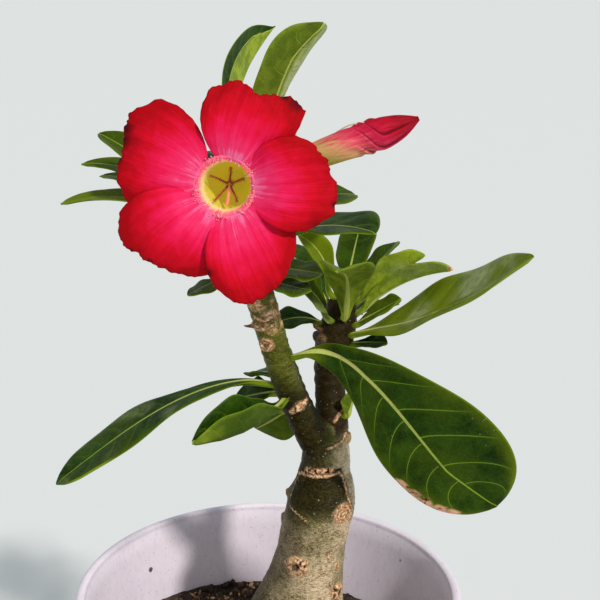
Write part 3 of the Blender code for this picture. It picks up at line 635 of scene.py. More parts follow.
class Effect(Enum):
    """Surface effects that several finishes share, each built once as a node group."""

    MOTTLE = "mottle"
    SPECKS = "specks"
    GRAIN = "grain"

    def group(self) -> bpy.types.NodeTree:
        """The effect's node group, made on first use.

        Returns:
            The node group.
        """
        known = bpy.data.node_groups.get(self.value)
        if known:
            return known
        made = bpy.data.node_groups.new(self.value, "ShaderNodeTree")
        for name, kind in (("Vector", "Vector"), ("Scale", "Float"), ("Share", "Float")):
            made.interface.new_socket(name, in_out="INPUT", socket_type=f"NodeSocket{kind}")
        made.interface.new_socket("Mask", in_out="OUTPUT", socket_type="NodeSocketFloat")
        tree = Tree(made)
        given = tree.node("NodeGroupInput")
        result = getattr(self, f"_{self.value}")(tree, *given.outputs[:3])
        tree.node("NodeGroupOutput", {0: result})
        return made

    @staticmethod
    def _mottle(tree: Tree, vector: Number, scale: Number, share: Number) -> Socket:
        """Soft blotches that cover the given share of the surface."""
        above = tree.minus(tree.noise(vector, scale, 5.0, 0.6), tree.minus(1.0, share))
        return tree.math("MULTIPLY_ADD", above, 3.2, 0.5, clamp=True)

    @staticmethod
    def _specks(tree: Tree, vector: Number, scale: Number, share: Number) -> Socket:
        """Small dots in the given share of cells.

        Args:
            tree: Where its nodes go.
            vector: The place on the surface.
            scale: How many lumps fit in a metre.
            share: The effect's share.

        Returns:
            The value at each place.
        """
        cells = tree.node("ShaderNodeTexVoronoi", {"Vector": vector, "Scale": scale})
        tone = tree.node("ShaderNodeSeparateColor", {0: cells.outputs["Color"]})
        chosen = tree.math("LESS_THAN", tone.outputs[0], share)
        size = tree.math("MULTIPLY_ADD", tone.outputs[1], 0.22, 0.14)
        near = tree.minus(size, cells.outputs["Distance"])
        return tree.times(tree.step(near, -0.08, 0.08), chosen)

    @staticmethod
    def _grain(tree: Tree, vector: Number, scale: Number, share: Number) -> Socket:
        """Fine and coarse grain in one height, with share as the coarse one's part.

        Args:
            tree: Where its nodes go.
            vector: The place on the surface.
            scale: How many lumps fit in a metre.
            share: The effect's share.

        Returns:
            The value at each place.
        """
        fine = tree.noise(vector, scale, 4.0)
        coarse = tree.noise(vector, tree.times(scale, 0.23), 2.0)
        made = tree.node("ShaderNodeMix", {0: share, 2: fine, 3: coarse}, data_type="FLOAT")
        return made.outputs[0]


# Finishes


@dataclass(frozen=True)
class PotFinish:
    """Matt lilac ware with fine dark specks and a few black ones."""

    lilac: Colour = (0.75, 0.655, 0.735)
    pale: Colour = (0.80, 0.715, 0.780)
    speck: Colour = (0.16, 0.12, 0.15)
    black: Colour = (0.02, 0.015, 0.02)

    def make(self) -> Material:
        """Builds the material.

        Returns:
            The material.
        """
        tree, made = Tree.material("lilac_ware", Roughness=0.55, Specular_IOR_Level=0.4)
        spot = tree.place()
        body = tree.mix(tree.effect(Effect.MOTTLE, spot, 60.0, 0.5), self.lilac, self.pale)
        fibre = tree.noise(tree.place((1.0, 1.0, 0.35)), 900.0, 3.0)
        body = tree.mix(tree.step(fibre, 0.45, 0.75, 0.0, 0.10), body, self.speck)
        body = tree.laid(body, self.speck, tree.effect(Effect.SPECKS, spot, 1300.0, 0.10), 0.35)
        body = tree.laid(body, self.black, tree.effect(Effect.SPECKS, spot, 400.0, 0.006), 0.9)
        tree.paint(body)
        tree.bump(tree.effect(Effect.GRAIN, spot, 1400.0, 0.4), 0.05)
        return made


@dataclass(frozen=True)
class SoilFinish:
    """Dark potting mix; each crumb carries its own tone."""

    dark: Colour = (0.008, 0.0045, 0.0035)
    brown: Colour = (0.095, 0.055, 0.036)
    tan: Colour = (0.50, 0.220, 0.075)
    grit: Colour = (0.70, 0.48, 0.30)

    def make(self) -> Material:
        """Builds the material.

        Returns:
            The material.
        """
        tree, made = Tree.material("potting_mix", Roughness=0.9, Specular_IOR_Level=0.25)
        spot = tree.place()
        stops = [(0.0, self.dark), (0.62, self.brown), (0.8, self.tan), (1.0, self.grit)]
        body = tree.ramp(tree.carried("tone"), stops)
        tree.paint(tree.laid(body, self.dark, tree.effect(Effect.MOTTLE, spot, 900.0, 0.45), 0.6))
        tree.bump(tree.effect(Effect.GRAIN, spot, 2600.0, 0.3), 0.25)
        return made


@dataclass(frozen=True)
class BarkFinish:
    """Speckled bark in three zones, with corky scars and dark pits, read from the mesh.

    The lower stem is tan, the branches are olive, and the window under the ledge, the neck
    and the rear branch are dusky. The dusky mask also holds painted shade on the stems' left
    side, and the tan mask painted light on their right and painted shade on their left.
    """

    tan: Colour = (0.84, 0.635, 0.400)
    tan_dark: Colour = (0.165, 0.100, 0.034)
    olive: Colour = (0.140, 0.142, 0.010)
    olive_dark: Colour = (0.034, 0.038, 0.002)
    dusk: Colour = (0.036, 0.028, 0.002)
    dusk_dark: Colour = (0.006, 0.004, 0.0008)
    fleck: Colour = (0.80, 0.70, 0.54)
    cork: Colour = (0.40, 0.165, 0.055)
    pale_cork: Colour = (0.84, 0.56, 0.34)
    pit: Colour = (0.022, 0.008, 0.004)

    def make(self) -> Material:
        """Builds the material.

        Returns:
            The material.
        """
        tree, made = Tree.material("bark", Specular_IOR_Level=0.08, Coat_Roughness=0.32)
        # The tan mask also carries painted light and shade, the dusky one painted shade
        tan, dusk, cork, pit = (tree.carried(mask) for mask in ("tan", "dusk", "cork", "pit"))
        spot, lying = tree.place(), tree.place((1.0, 1.0, 1.9))
        cloud = tree.effect(Effect.MOTTLE, spot, 210.0, 0.5)
        grit = tree.noise(lying, 1150.0, 4.0, 1.2)
        shadow = tree.plus(tree.times(cloud, 0.45), tree.step(grit, 0.56, 0.40, 0.0, 0.55))
        body = tree.mix(shadow, self.olive, self.olive_dark)
        body = tree.mix(dusk, body, tree.mix(shadow, self.dusk, self.dusk_dark))
        body = tree.mix(tan, body, tree.mix(shadow, self.tan, self.tan_dark))
        # Pale grain flecks, partly the bark's own, partly painted glints for the tan skin's sheen
        amount = tree.math("MULTIPLY_ADD", tan, 0.66, 0.12)
        amount = tree.times(amount, tree.math("MULTIPLY_ADD", dusk, -0.6, 1.0))
        body = tree.laid(body, self.fleck, tree.step(grit, 0.57, 0.74), amount)
        body = tree.laid(body, self.fleck, tree.effect(Effect.SPECKS, spot, 1500.0, 0.05), 0.4)
        rind = tree.step(tree.noise(spot, 1500.0, 3.0), 0.38, 0.62)
        body = tree.mix(cork, body, tree.mix(rind, self.cork, self.pale_cork))
        tree.paint(tree.mix(pit, body, self.pit), tree.step(cork, 0.1, 0.8, 0.45, 0.85))
        # The tan skin is waxy, the dusky one and the scars are dull
        waxy = tree.math("MULTIPLY_ADD", tan, 0.48, 0.10)
        waxy = tree.times(waxy, tree.minus(1.0, tree.math("MAXIMUM", cork, dusk)))
        tree.feed(tree.shader.inputs["Coat Weight"], waxy)
        tree.bump(tree.effect(Effect.GRAIN, lying, 1500.0, 0.35), 0.42)
        return made


@dataclass(frozen=True)
class LeafFinish:
    """Leathery leaf: glossy dark face, pale ribs, lighter underside and thin yellow margin."""

    dark: Colour = (0.007, 0.024, 0.0012)
    green: Colour = (0.026, 0.066, 0.004)
    fresh: Colour = (0.180, 0.225, 0.006)
    under: Colour = (0.060, 0.098, 0.008)
    fresh_under: Colour = (0.270, 0.340, 0.024)
    rib: Colour = (0.46, 0.48, 0.13)
    vein: Colour = (0.215, 0.310, 0.022)
    margin: Colour = (0.115, 0.190, 0.004)
    scorch: Colour = (0.66, 0.36, 0.21)
    burnt: Colour = (0.075, 0.012, 0.008)
    dust: Colour = (0.55, 0.60, 0.50)
    painted_sheen: Colour = (0.36, 0.40, 0.19)
    grime: Colour = (0.62, 0.70, 0.5)
    painted_glow: float = 0.22

    def make(self) -> Material:
        """Builds the material.

        Returns:
            The material.
        """
        tree, made = Tree.material("leaf", Specular_IOR_Level=0.04)
        _, lateral, across = tree.chart("veins")
        _, along, beside = tree.chart("span")
        upper, fresh, spot = tree.carried("upper"), tree.carried("fresh"), tree.place()
        # A lateral vein runs wherever its count is a whole number and a half
        beat = tree.math("ABSOLUTE", tree.minus(tree.math("FRACT", lateral), 0.5))
        line = tree.times(tree.step(beat, 0.034, 0.010), tree.step(across, 0.98, 0.6))
        face = tree.mix(tree.effect(Effect.MOTTLE, spot, 130.0, 0.47), self.dark, self.green)
        face = tree.mix(tree.step(beat, 0.22, 0.0, 0.0, 0.5), face, self.green)
        face = tree.mix(fresh, face, self.fresh)
        back = tree.mix(fresh, self.under, self.fresh_under)
        patchy = tree.noise(spot, 260.0, 3.0)
        back = tree.mix(tree.step(patchy, 0.62, 0.38, 0.0, 0.45), back, self.green)
        body = tree.mix(upper, back, face)
        # Painted sheen and light: pale streaky patches where the mesh's pale value lies
        streaky = tree.noise(tree.place((1.0, 1.0, 0.5)), 420.0, 4.0, 0.8)
        body = tree.laid(body, self.painted_sheen, tree.carried("pale"), tree.step(streaky, 0.32, 0.60, 0.45, 1.0))
        fine = tree.noise(spot, 1500.0, 4.0)
        body = tree.mix(tree.step(fine, 0.35, 0.7, 0.0, 0.3), body, self.grime, "MULTIPLY")
        body = tree.laid(body, self.vein, line, tree.carried("veined"))
        cells = {"Vector": spot, "Scale": 520.0}
        cells = tree.node("ShaderNodeTexVoronoi", cells, feature="DISTANCE_TO_EDGE").outputs[0]
        net = tree.step(cells, 0.09, 0.0)
        body = tree.laid(body, self.vein, net, 0.06)
        ribbed = tree.mix(tree.step(along, 0.1, 1.0), self.rib, self.vein)
        ribbed = tree.mix(upper, tree.mix(0.5, self.fresh_under, self.rib), ribbed)
        body = tree.mix(tree.step(tree.math("ABSOLUTE", beside), 1.15, 0.75), body, ribbed)
        body = tree.laid(body, self.margin, tree.step(across, 0.958, 0.99), 0.8)
        dust = tree.effect(Effect.SPECKS, spot, 2200.0, 0.04)
        drift = tree.step(tree.noise(spot, 70.0, 2.0), 0.58, 0.70, 0.0, 0.5)
        body = tree.laid(body, self.dust, dust, drift)
        patch = tree.mix(tree.step(tree.noise(spot, 420.0, 3.0), 0.52, 0.66), self.scorch, self.burnt)
        body = tree.mix(tree.carried("scorch"), body, patch)
        tree.paint(body, tree.step(upper, 0.0, 1.0, 0.48, 0.30))
        # Painted glow: an emission in the young leaf's colour stands in for light coming through it
        tree.glow(tree.mix(fresh, BLACK, body), self.painted_glow)
        relief = tree.minus(tree.times(net, -0.35), line)
        tree.bump(tree.plus(relief, tree.times(fine, 0.8)), 0.12)
        return made


@dataclass(frozen=True)
class PetalFinish:
    """Velvety petal: hot pink streaks from the throat, then crimson and a dark edge."""

    blush: Colour = (0.86, 0.160, 0.330)
    pink: Colour = (0.86, 0.036, 0.145)
    rose: Colour = (0.80, 0.010, 0.075)
    red: Colour = (0.63, 0.0035, 0.018)
    deep: Colour = (0.40, 0.0020, 0.006)
    maroon: Colour = (0.055, 0.002, 0.004)
    pale_back: Colour = (0.62, 0.26, 0.16)
    back: Colour = (0.60, 0.03, 0.06)

    def make(self) -> Material:
        """Builds the material.

        Returns:
            The material.
        """
        tree, made = Tree.material("petal", Roughness=0.6, Specular_IOR_Level=0.04)
        chart, _, _ = tree.chart("streaks")
        _, out, across = tree.chart("petal")
        wide = tree.noise(tree.stretched(chart, (0.9, 8.0, 1.0)), 1.0, 3.0)
        fine = tree.noise(tree.stretched(chart, (4.0, 48.0, 1.0)), 1.0, 5.0, 0.9)
        streak = tree.plus(tree.times(wide, 0.70), tree.times(fine, 0.30))
        # The streaks fade into velvet towards the edge
        lead = tree.times(tree.minus(streak, 0.5), 0.95, tree.step(out, 0.95, 0.25, 0.35, 1.0))
        lead = tree.swayed(lead, tree.noise(tree.place(), 260.0, 4.0, 0.5), 0.42)
        edge = tree.math("POWER", tree.math("ABSOLUTE", across), 2.2)
        share = tree.plus(tree.minus(out, lead), tree.times(edge, 0.42))
        tones = (self.blush, self.pink, self.rose, self.red, self.deep)
        face = tree.ramp(share, list(zip((0.0, 0.17, 0.46, 0.74, 1.0), tones)))
        back = tree.ramp(out, [(0.0, self.pale_back), (0.45, self.back), (1.0, self.red)])
        body = tree.mix(tree.carried("upper"), back, face)
        tree.paint(tree.mix(tree.carried("burn"), body, self.maroon))
        tree.bump(tree.plus(tree.times(fine, 0.6), tree.times(wide, 0.4)), 0.3)
        return made


@dataclass(frozen=True)
class ThroatFinish:
    """The flower's tube: pink and cream at its mouth, olive inside, pale outside."""

    cream: Colour = (0.76, 0.560, 0.26)
    petal: Colour = (0.84, 0.085, 0.19)
    olive: Colour = (0.50, 0.430, 0.045)
    depth: Colour = (0.60, 0.480, 0.030)
    blush: Colour = (0.84, 0.13, 0.19)
    flush: Colour = (0.62, 0.12, 0.16)
    outside: Colour = (0.45, 0.40, 0.16)
    foot: Colour = (0.2, 0.27, 0.05)
    painted_glow: float = 0.31

    def make(self) -> Material:
        """Builds the material.

        Returns:
            The material.
        """
        tree, made = Tree.material("throat", Roughness=0.55, Specular_IOR_Level=0.2)
        chart, deep, turn = tree.chart("petal")
        lines = tree.noise(tree.stretched(chart, (0.8, 40.0, 1.0)), 1.0, 3.0)
        share = tree.swayed(deep, lines, 0.20)
        tones = (self.petal, self.petal, self.cream, self.olive, self.depth)
        stops = list(zip((0.0, 0.02, 0.12, 0.24, 0.6), tones))
        # The cream ring is broad on its left, and on its right the pink reaches the olive
        pinkish = tree.times(tree.step(turn, 0.16, 0.40), tree.step(share, 0.17, 0.07))
        inside = tree.mix(pinkish, tree.ramp(share, stops), self.blush)
        outside = tree.ramp(deep, [(0.0, self.flush), (0.35, self.outside), (1.0, self.foot)])
        tree.paint(tree.mix(tree.carried("upper"), outside, inside))
        # Painted glow: the inside gives off its own colour, standing in for light through the wall
        tree.glow(tree.mix(tree.carried("upper"), BLACK, inside), self.painted_glow)
        tree.bump(lines, 0.2)
        return made


@dataclass(frozen=True)
class BudFinish:
    """The closed bud: yellow-green and cream at its foot, flushed orange, red at its tip."""

    green: Colour = (0.44, 0.46, 0.04)
    yellow: Colour = (0.60, 0.54, 0.06)
    cream: Colour = (0.76, 0.52, 0.18)
    orange: Colour = (0.80, 0.34, 0.18)
    rose: Colour = (0.74, 0.10, 0.13)
    crimson: Colour = (0.66, 0.020, 0.075)
    red: Colour = (0.45, 0.003, 0.020)
    deep: Colour = (0.24, 0.002, 0.008)
    # Painted shadow under each lobe's overlapping edge
    seam: Colour = (0.09, 0.002, 0.005)
    dry: Colour = (0.62, 0.46, 0.34)

    def make(self) -> Material:
        """Builds the material.

        Returns:
            The material.
        """
        tree, made = Tree.material("bud", Roughness=0.55, Specular_IOR_Level=0.08)
        chart, along, height = tree.chart("petal")
        lines = tree.noise(tree.stretched(chart, (11.0, 34.0, 1.0)), 1.0, 4.0, 0.5)
        # The flush starts sooner on the upper side
        share = tree.swayed(tree.swayed(along, lines, 0.30), height, 0.52, 0.30)
        low = [(0.12, self.green), (0.34, self.yellow), (0.44, self.cream), (0.51, self.orange)]
        high = [(0.58, self.rose), (0.68, self.crimson), (0.82, self.red), (1.0, self.deep)]
        body = tree.ramp(share, low + high)
        # Painted shadow on the tip side of each lobe's overlapping edge, from the seam value
        body = tree.mix(tree.carried("seam"), body, self.seam)
        tree.paint(tree.mix(tree.carried("dry"), body, self.dry))
        tree.bump(lines, 0.3)
        return made


@dataclass(frozen=True)
class CalyxFinish:
    """Stalk, cup and sepals: pale green, flushed red towards the sepals' tips."""

    green: Colour = (0.17, 0.26, 0.045)
    pale: Colour = (0.34, 0.40, 0.10)
    flush: Colour = (0.33, 0.06, 0.04)

    def make(self) -> Material:
        """Builds the material.

        Returns:
            The material.
        """
        tree, made = Tree.material("calyx", Roughness=0.48, Specular_IOR_Level=0.4)
        spot = tree.place()
        body = tree.mix(tree.effect(Effect.MOTTLE, spot, 500.0, 0.5), self.green, self.pale)
        tree.paint(tree.mix(tree.carried("tip"), body, self.flush))
        tree.bump(tree.effect(Effect.GRAIN, spot, 3000.0, 0.4), 0.12)
        return made


@dataclass(frozen=True)
class StamenFinish:
    """The anthers: a yellow-green cone whose tails turn rust red, one of them coral."""

    cone: Colour = (0.52, 0.44, 0.04)
    rust: Colour = (0.30, 0.050, 0.022)
    brown: Colour = (0.13, 0.020, 0.012)
    coral: Colour = (0.78, 0.24, 0.13)
    painted_glow: float = 0.28

    def make(self) -> Material:
        """Builds the material.

        Returns:
            The material.
        """
        tree, made = Tree.material("stamens", Roughness=0.6, Specular_IOR_Level=0.2)
        spot = tree.place()
        tail = tree.mix(tree.effect(Effect.MOTTLE, spot, 1500.0, 0.5), self.brown, self.rust)
        tail = tree.mix(tree.carried("coral"), tail, self.coral)
        body = tree.mix(tree.carried("tail"), self.cone, tail)
        tree.paint(body)
        # Painted glow: the anthers give off their own colour, standing in for light through the
        # funnel's wall onto the cone
        tree.glow(body, self.painted_glow)
        tree.bump(tree.effect(Effect.GRAIN, spot, 4000.0, 0.3), 0.08)
        return made


@dataclass(frozen=True)
class FringeFinish:
    """The hairs round the throat: pale pink with a soft mottle."""

    light: Colour = (0.94, 0.50, 0.50)
    dark: Colour = (0.84, 0.12, 0.22)

    def make(self) -> Material:
        """Builds the material.

        Returns:
            The material.
        """
        tree, made = Tree.material("fringe", Roughness=0.6, Specular_IOR_Level=0.3)
        spot = tree.place()
        tree.paint(tree.mix(tree.effect(Effect.MOTTLE, spot, 700.0, 0.5), self.dark, self.light))
        tree.bump(tree.effect(Effect.GRAIN, spot, 4000.0, 0.3), 0.08)
        return made


# The pot


@dataclass
class Pot:
    """The tapered cup with its collar, rounded rim and drain holes."""

    height: float = 105.0
    rim_radius: float = 60.0
    wall: float = 3.2
    base_radius: float = 44.7
    floor: float = 6.0
    collar_height: float = 14.0
    collar_step: float = 1.8
    foot_round: float = 1.5
    lip_round: float = 1.8
    draft: float = 0.6
    inner_foot: float = 2.4
    drain_holes: int = 4
    drain_radius: float = 4.0
    drain_circle: float = 24.0
    sides: int = 160

    def inner_radius(self, z: float) -> float:
        """Radius of the inner wall at a height."""
        mouth, foot = self.rim_radius - self.wall, self.base_radius - self.wall
        return foot + (mouth - foot) * (z - self.floor) / (self.height - self.lip_round - self.floor)

    def profile(self) -> Array:
        """Radius and height round the wall, from the middle of the underside.

        Returns:
            One row for each corner, from the underside round to the inside.
        """
        step, lip, top = self.collar_step, self.lip_round, self.height
        collar_z, lip_z = top - self.collar_height, top - lip
        collar = self.rim_radius - self.draft
        body = collar - step
        mouth, heel = self.rim_radius - self.wall, self.base_radius - self.foot_round
        corners = [(0.0, 0.0), (heel, 0.0)]
        for turn in np.radians([30, 60, 90]):
            out = heel + self.foot_round * math.sin(turn)
            corners.append((out, self.foot_round * (1 - math.cos(turn))))
        corners += [(body - 0.25, collar_z - 1.9 * step), (body, collar_z - 1.2 * step)]
        corners += [(body + 0.6, collar_z - 0.6 * step)]
        corners += [(collar - 0.3, collar_z - 0.15), (collar, collar_z + 0.4)]
        # The lip rolls over from the outside to the inside, with a soft inner step under it
        corners.append((self.rim_radius, lip_z))
        for turn in np.radians([25, 50, 75, 90]):
            out = self.rim_radius - 0.9 * lip * (1 - math.cos(turn))
            corners.append((out, top - lip * (1 - math.sin(turn))))
        for turn in np.radians([65, 40, 15]):
            out = mouth + 0.55 * lip * (1 - math.cos(turn)) * 0.6
            corners.append((out, top - lip * (1 - math.sin(turn))))
        corners += [(mouth, lip_z), (mouth - 0.35, lip_z - 0.5)]
        heights = (98.0, 90.0, 70.0, 40.0, self.floor + self.inner_foot)
        corners += [(self.inner_radius(z), z) for z in heights]
        foot = self.inner_radius(self.floor)
        corners += [(foot - 0.7, self.floor + 0.7), (foot - self.inner_foot, self.floor)]
        corners += [(30.0, self.floor), (0.0, self.floor)]
        return np.array(corners)

    def build(self) -> Piece:
        """Spins the profile, cuts the drain holes and dresses the cup.

        Returns:
            The cup.
        """
        ring = spokes(self.sides)
        shell = lofted([levelled(ring * radius, z) for radius, z in self.profile()[1:-1]])
        cup = shell.made("lilac_cup", PotFinish().make())
        cup.data.set_sharp_from_angle(angle=math.radians(60))
        cutter = self._cutter(cup.data.materials[0])
        cut = cup.modifiers.new("drains", "BOOLEAN")
        cut.operation, cut.solver, cut.object = "DIFFERENCE", "EXACT", cutter
        mesh = evaluated(cup)
        cup.modifiers.clear()
        cup.data = mesh
        bpy.data.objects.remove(cutter)
        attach(cup, "root")
        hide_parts("pot")
        return cup

    def _cutter(self, finish: Material) -> Piece:
        """Round pegs through the floor, for the drain holes.

        Args:
            finish: The material of their faces.

        Returns:
            The pegs, as one object.
        """
        shell = Shell.empty()
        for i in range(self.drain_holes):
            angle = 2 * math.pi * (i + 0.5) / self.drain_holes
            x, y = self.drain_circle * math.cos(angle), self.drain_circle * math.sin(angle)
            circle = spokes(32) * self.drain_radius + (x, y, 0.0)
            shell += lofted([levelled(circle, z) for z in (-10.0, 20.0)])
        return shell.made("drain_pegs", finish)


# The potting mix


@dataclass
class PottingMix:
    """Dark mix in the pot: a rough bed with loose crumbs, chips and grit on it."""

    pot: Pot
    level: float = 77.8
    tilt: float = -0.035
    root_radius: float = 19.2
    columns: int = 220
    rows: int = 44
    crumbs: int = 5200
    seed: int = 11

    def rise(self, x: Array, y: Array) -> Array:
        """How far the bed lies above its level.

        Args:
            x: Places along X in millimetres.
            y: Their places along Y.

        Returns:
            The height at each place, in millimetres.
        """
        spots = np.stack([x, y, np.zeros_like(x)], axis=-1).reshape(-1, 3)
        wide = value_noise(spots, 16.0, 1) * 0.6
        lumps = value_noise(spots, 4.5, 2) * 0.6
        fine = value_noise(spots, 1.6, 3) * 0.4
        return (wide + lumps + fine).reshape(np.shape(x)) + self.tilt * x

    def build(self) -> list[Piece]:
        """Builds the bed and the crumbs.

        Returns:
            The bed and the crumbs.
        """
        finish = SoilFinish().make()
        bed = self._bed().made("mix_bed", finish)
        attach(bed, "root")
        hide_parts("soil")
        crumbs = self._crumbs().made("mix_crumbs", finish, outwards=False)
        crumbs.data.shade_flat()
        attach(crumbs, "root")
        return [bed, crumbs]

    def _bed(self) -> Shell:
        """The bed, from the pot's wall to the root, closed underneath.

        Returns:
            The closed bed with its tones.
        """
        ring = spokes(self.columns)
        neck = ring * (self.root_radius - 1.2) + (ROOT_X, 0.0, 0.0)
        edge = ring * (self.pot.inner_radius(self.level) - 0.15)
        low = self.pot.floor + GAP
        foot = ring * (self.pot.inner_radius(low) - self.pot.inner_foot - 1)
        shoulder = ring * (self.pot.inner_radius(low + 5) - GAP)
        rings = [levelled(foot, low), levelled(shoulder, low + 5)]
        for share in np.linspace(0, 1, self.rows):
            flat = edge + (neck - edge) * share
            rings.append(levelled(flat, self.level + self.rise(flat[:, 0], flat[:, 1])))
        rings.append(levelled(neck * 0.6, self.level - 6))
        shell = lofted(rings)
        tone = 0.25 + 0.3 * value_noise(shell.points, 2.4, 5)
        return Shell(shell.points, shell.faces, {"tone": np.clip(tone, 0, 0.7)})

    def _crumbs(self) -> Shell:
        """Loose lumps of many sizes, each bent out of round and toned on its own.

        Returns:
            All crumbs in one shell, with their tones.
        """
        draw = np.random.default_rng(self.seed)
        form = bmesh.new()
        bmesh.ops.create_icosphere(form, subdivisions=1, radius=1.0)
        ball = np.array([v.co[:] for v in form.verts])
        faces = [[v.index for v in face.verts] for face in form.faces]
        form.free()
        points, index, tones = [], [], []
        outer = self.pot.inner_radius(self.level) - 1.2
        placed = 0
        while placed < self.crumbs:
            angle, far = draw.uniform(0, 2 * math.pi), math.sqrt(draw.uniform(0, 1)) * outer
            x, y = far * math.cos(angle), far * math.sin(angle)
            size = 0.38 + 1.3 * draw.power(0.5) ** 2.6
            size *= 1.0 if draw.uniform() > 0.012 else 1.6
            near_root = math.hypot(x - ROOT_X, y) - self.root_radius
            if near_root < -0.6 or far + 0.6 * size > outer + 0.8:
                continue
            stretch = draw.uniform(0.55, 1.25, 3)
            body = ball * (1 + 0.28 * draw.uniform(-1, 1, (len(ball), 1))) * stretch * size
            axis = unit(draw.normal(size=3))
            turn = draw.uniform(0, 2 * math.pi)
            body = (
                body * math.cos(turn)
                + np.cross(axis, body) * math.sin(turn)
                + np.outer(body @ axis, axis) * (1 - math.cos(turn))
            )
            z = self.level + float(self.rise(np.array([x]), np.array([y]))[0]) + 0.25 * size
            shift = len(ball) * placed
            points.append(body + (x, y, z))
            index += [tuple(i + shift for i in face) for face in faces]
            pick = draw.uniform()
            tone = draw.uniform(0.0, 0.62) if pick > 0.24 else draw.uniform(0.66, 1.0)
            tones.append(np.full(len(ball), tone))
            placed += 1
        return Shell(np.vstack(points), index, {"tone": np.concatenate(tones)})


# The stems


class Stem(Enum):
    """The three stems, by the name that leaves and knobs use."""

    TRUNK = "trunk"
    FRONT = "front"
    REAR = "rear"


T, F, R = Stem
ROOT_X = 5.5
ROOT_PROFILE = ((50.0, 3.0), (51.5, 9.0), (56.0, 14.0), (64.0, 18.0), (74.0, 19.6), (84.0, 19.0))
STEMS = {
    T: (
        (6.3, 0.0, 91.0, 17.2), (8.6, 0.0, 100.0, 14.8), (10.9, 0.0, 110.0, 12.2),
        (12.9, 0.0, 119.0, 10.8), (14.4, 0.0, 128.0, 10.2), (15.8, 0.0, 135.0, 10.1),
        (16.2, 0.0, 140.5, 9.8), (16.8, 0.4, 143.5, 8.7), (17.3, 0.6, 148.0, 7.7),
        (17.7, 0.4, 153.0, 7.3), (17.4, 0.2, 158.0, 6.6), (17.2, 0.2, 162.0, 4.4),
        (17.1, 0.2, 163.5, 1.2),
    ),
    F: (
        (17.0, 1.0, 150.0, 3.0), (16.0, 0.0, 154.0, 4.9), (13.8, -2.0, 159.5, 5.1),
        (11.6, -4.4, 164.5, 4.8), (9.2, -7.0, 171.0, 4.75), (6.7, -10.0, 179.0, 4.55),
        (4.5, -13.2, 187.0, 4.3), (2.5, -16.2, 195.0, 4.2), (0.7, -19.0, 202.5, 4.35),
        (-0.8, -21.0, 209.0, 4.35), (-3.2, -23.6, 218.0, 4.15), (-5.6, -26.0, 227.0, 4.1),
        (-7.2, -27.4, 233.0, 3.7), (-8.0, -28.0, 236.5, 2.4), (-8.2, -28.2, 238.0, 0.8),
    ),
    R: (
        (17.6, 0.0, 149.0, 4.0), (18.8, 1.4, 155.0, 5.4), (19.6, 4.2, 161.0, 4.9),
        (19.0, 8.0, 169.0, 4.7), (18.9, 11.0, 177.0, 5.1), (20.4, 13.6, 184.0, 5.7),
        (21.8, 15.2, 190.0, 5.4), (22.6, 16.2, 195.5, 4.2), (22.9, 16.6, 198.5, 2.6),
        (23.0, 16.8, 200.0, 0.8),
    ),
}


def stem_axis(stem: Stem, z: float) -> Array:
    """The point on a stem's centreline at a height."""
    curve = smooth_curve(STEMS[stem], 8)
    return np.array([np.interp(z, curve[:, 2], curve[:, axis]) for axis in range(3)])


def trunk_rings(sides: int, per_span: int, extra: float = 0.0) -> list[Array]:
    """Root and trunk in one, with the ledge of the old cut on the front.

    Args:
        sides: Points in each ring.
        per_span: Steps between two knots.
        extra: Millimetres added to the radius.

    Returns:
        A list of level rings.
    """
    knots = [(ROOT_X, 0.0, z, radius) for z, radius in ROOT_PROFILE] + list(STEMS[T])
    ring = spokes(sides)
    front = ease(0.28 - 1.1 * ring[:, 1])
    rings = []
    for x, y, z, radius in smooth_curve(knots, per_span):
        below = ease((145.6 - z) / 1.8 + 0.5)
        swell = ease((z - 118.0) / 14.0)
        ledge = 1.3 * (below * swell - 0.35 * (1 - below)) * (z > 90)
        fat = radius + extra + ledge * front
        rings.append(levelled((x, y, 0.0) + ring * fat[:, None], z))
    return rings


def stem_surface() -> BVHTree:
    """The stems' skin, fatter by the gap, from which leaves and stalks grow.

    Returns:
        The skin, for casting rays.
    """
    shell = lofted(trunk_rings(18, 1, GAP))
    for stem in (F, R):
        shell += lofted(tube_rings(STEMS[stem], 18, 1, GAP))
    return BVHTree.FromPolygons([Vector(p) for p in shell.points], shell.faces)


@dataclass(frozen=True)
class Knob:
    """A low corky disc on a stem, at height z and a heading. A dent makes it a scar."""

    stem: Stem
    z: float
    heading: float
    radius: float
    height: float
    dent: float = 0.0

    def place(self) -> tuple[Array, Array]:
        """The middle of the knob's foot on the skin, and the way it faces."""
        curve = smooth_curve(STEMS[self.stem], 8)
        radius = np.interp(self.z, curve[:, 2], curve[:, 3])
        outward = direction(self.heading, 0.0)
        return stem_axis(self.stem, self.z) + outward * radius, outward

    def shell(self) -> Shell:
        """The disc, rooted in its stem.

        Returns:
            The closed disc.
        """
        foot, outward = self.place()
        circle = spokes(24, np.cross(outward, UP), UP)
        top = 1.0 - self.dent
        profile = ((1.1, -2.0), (1.08, 0.0), (1.0, 0.45), (0.88, 0.85), (0.75, 1.0), (0.58, 0.6 + 0.4 * top))
        profile += ((0.4, top), (0.15, top))
        away, circle = outward * self.height, circle * self.radius
        return lofted([foot + away * rise + circle * share for share, rise in profile])


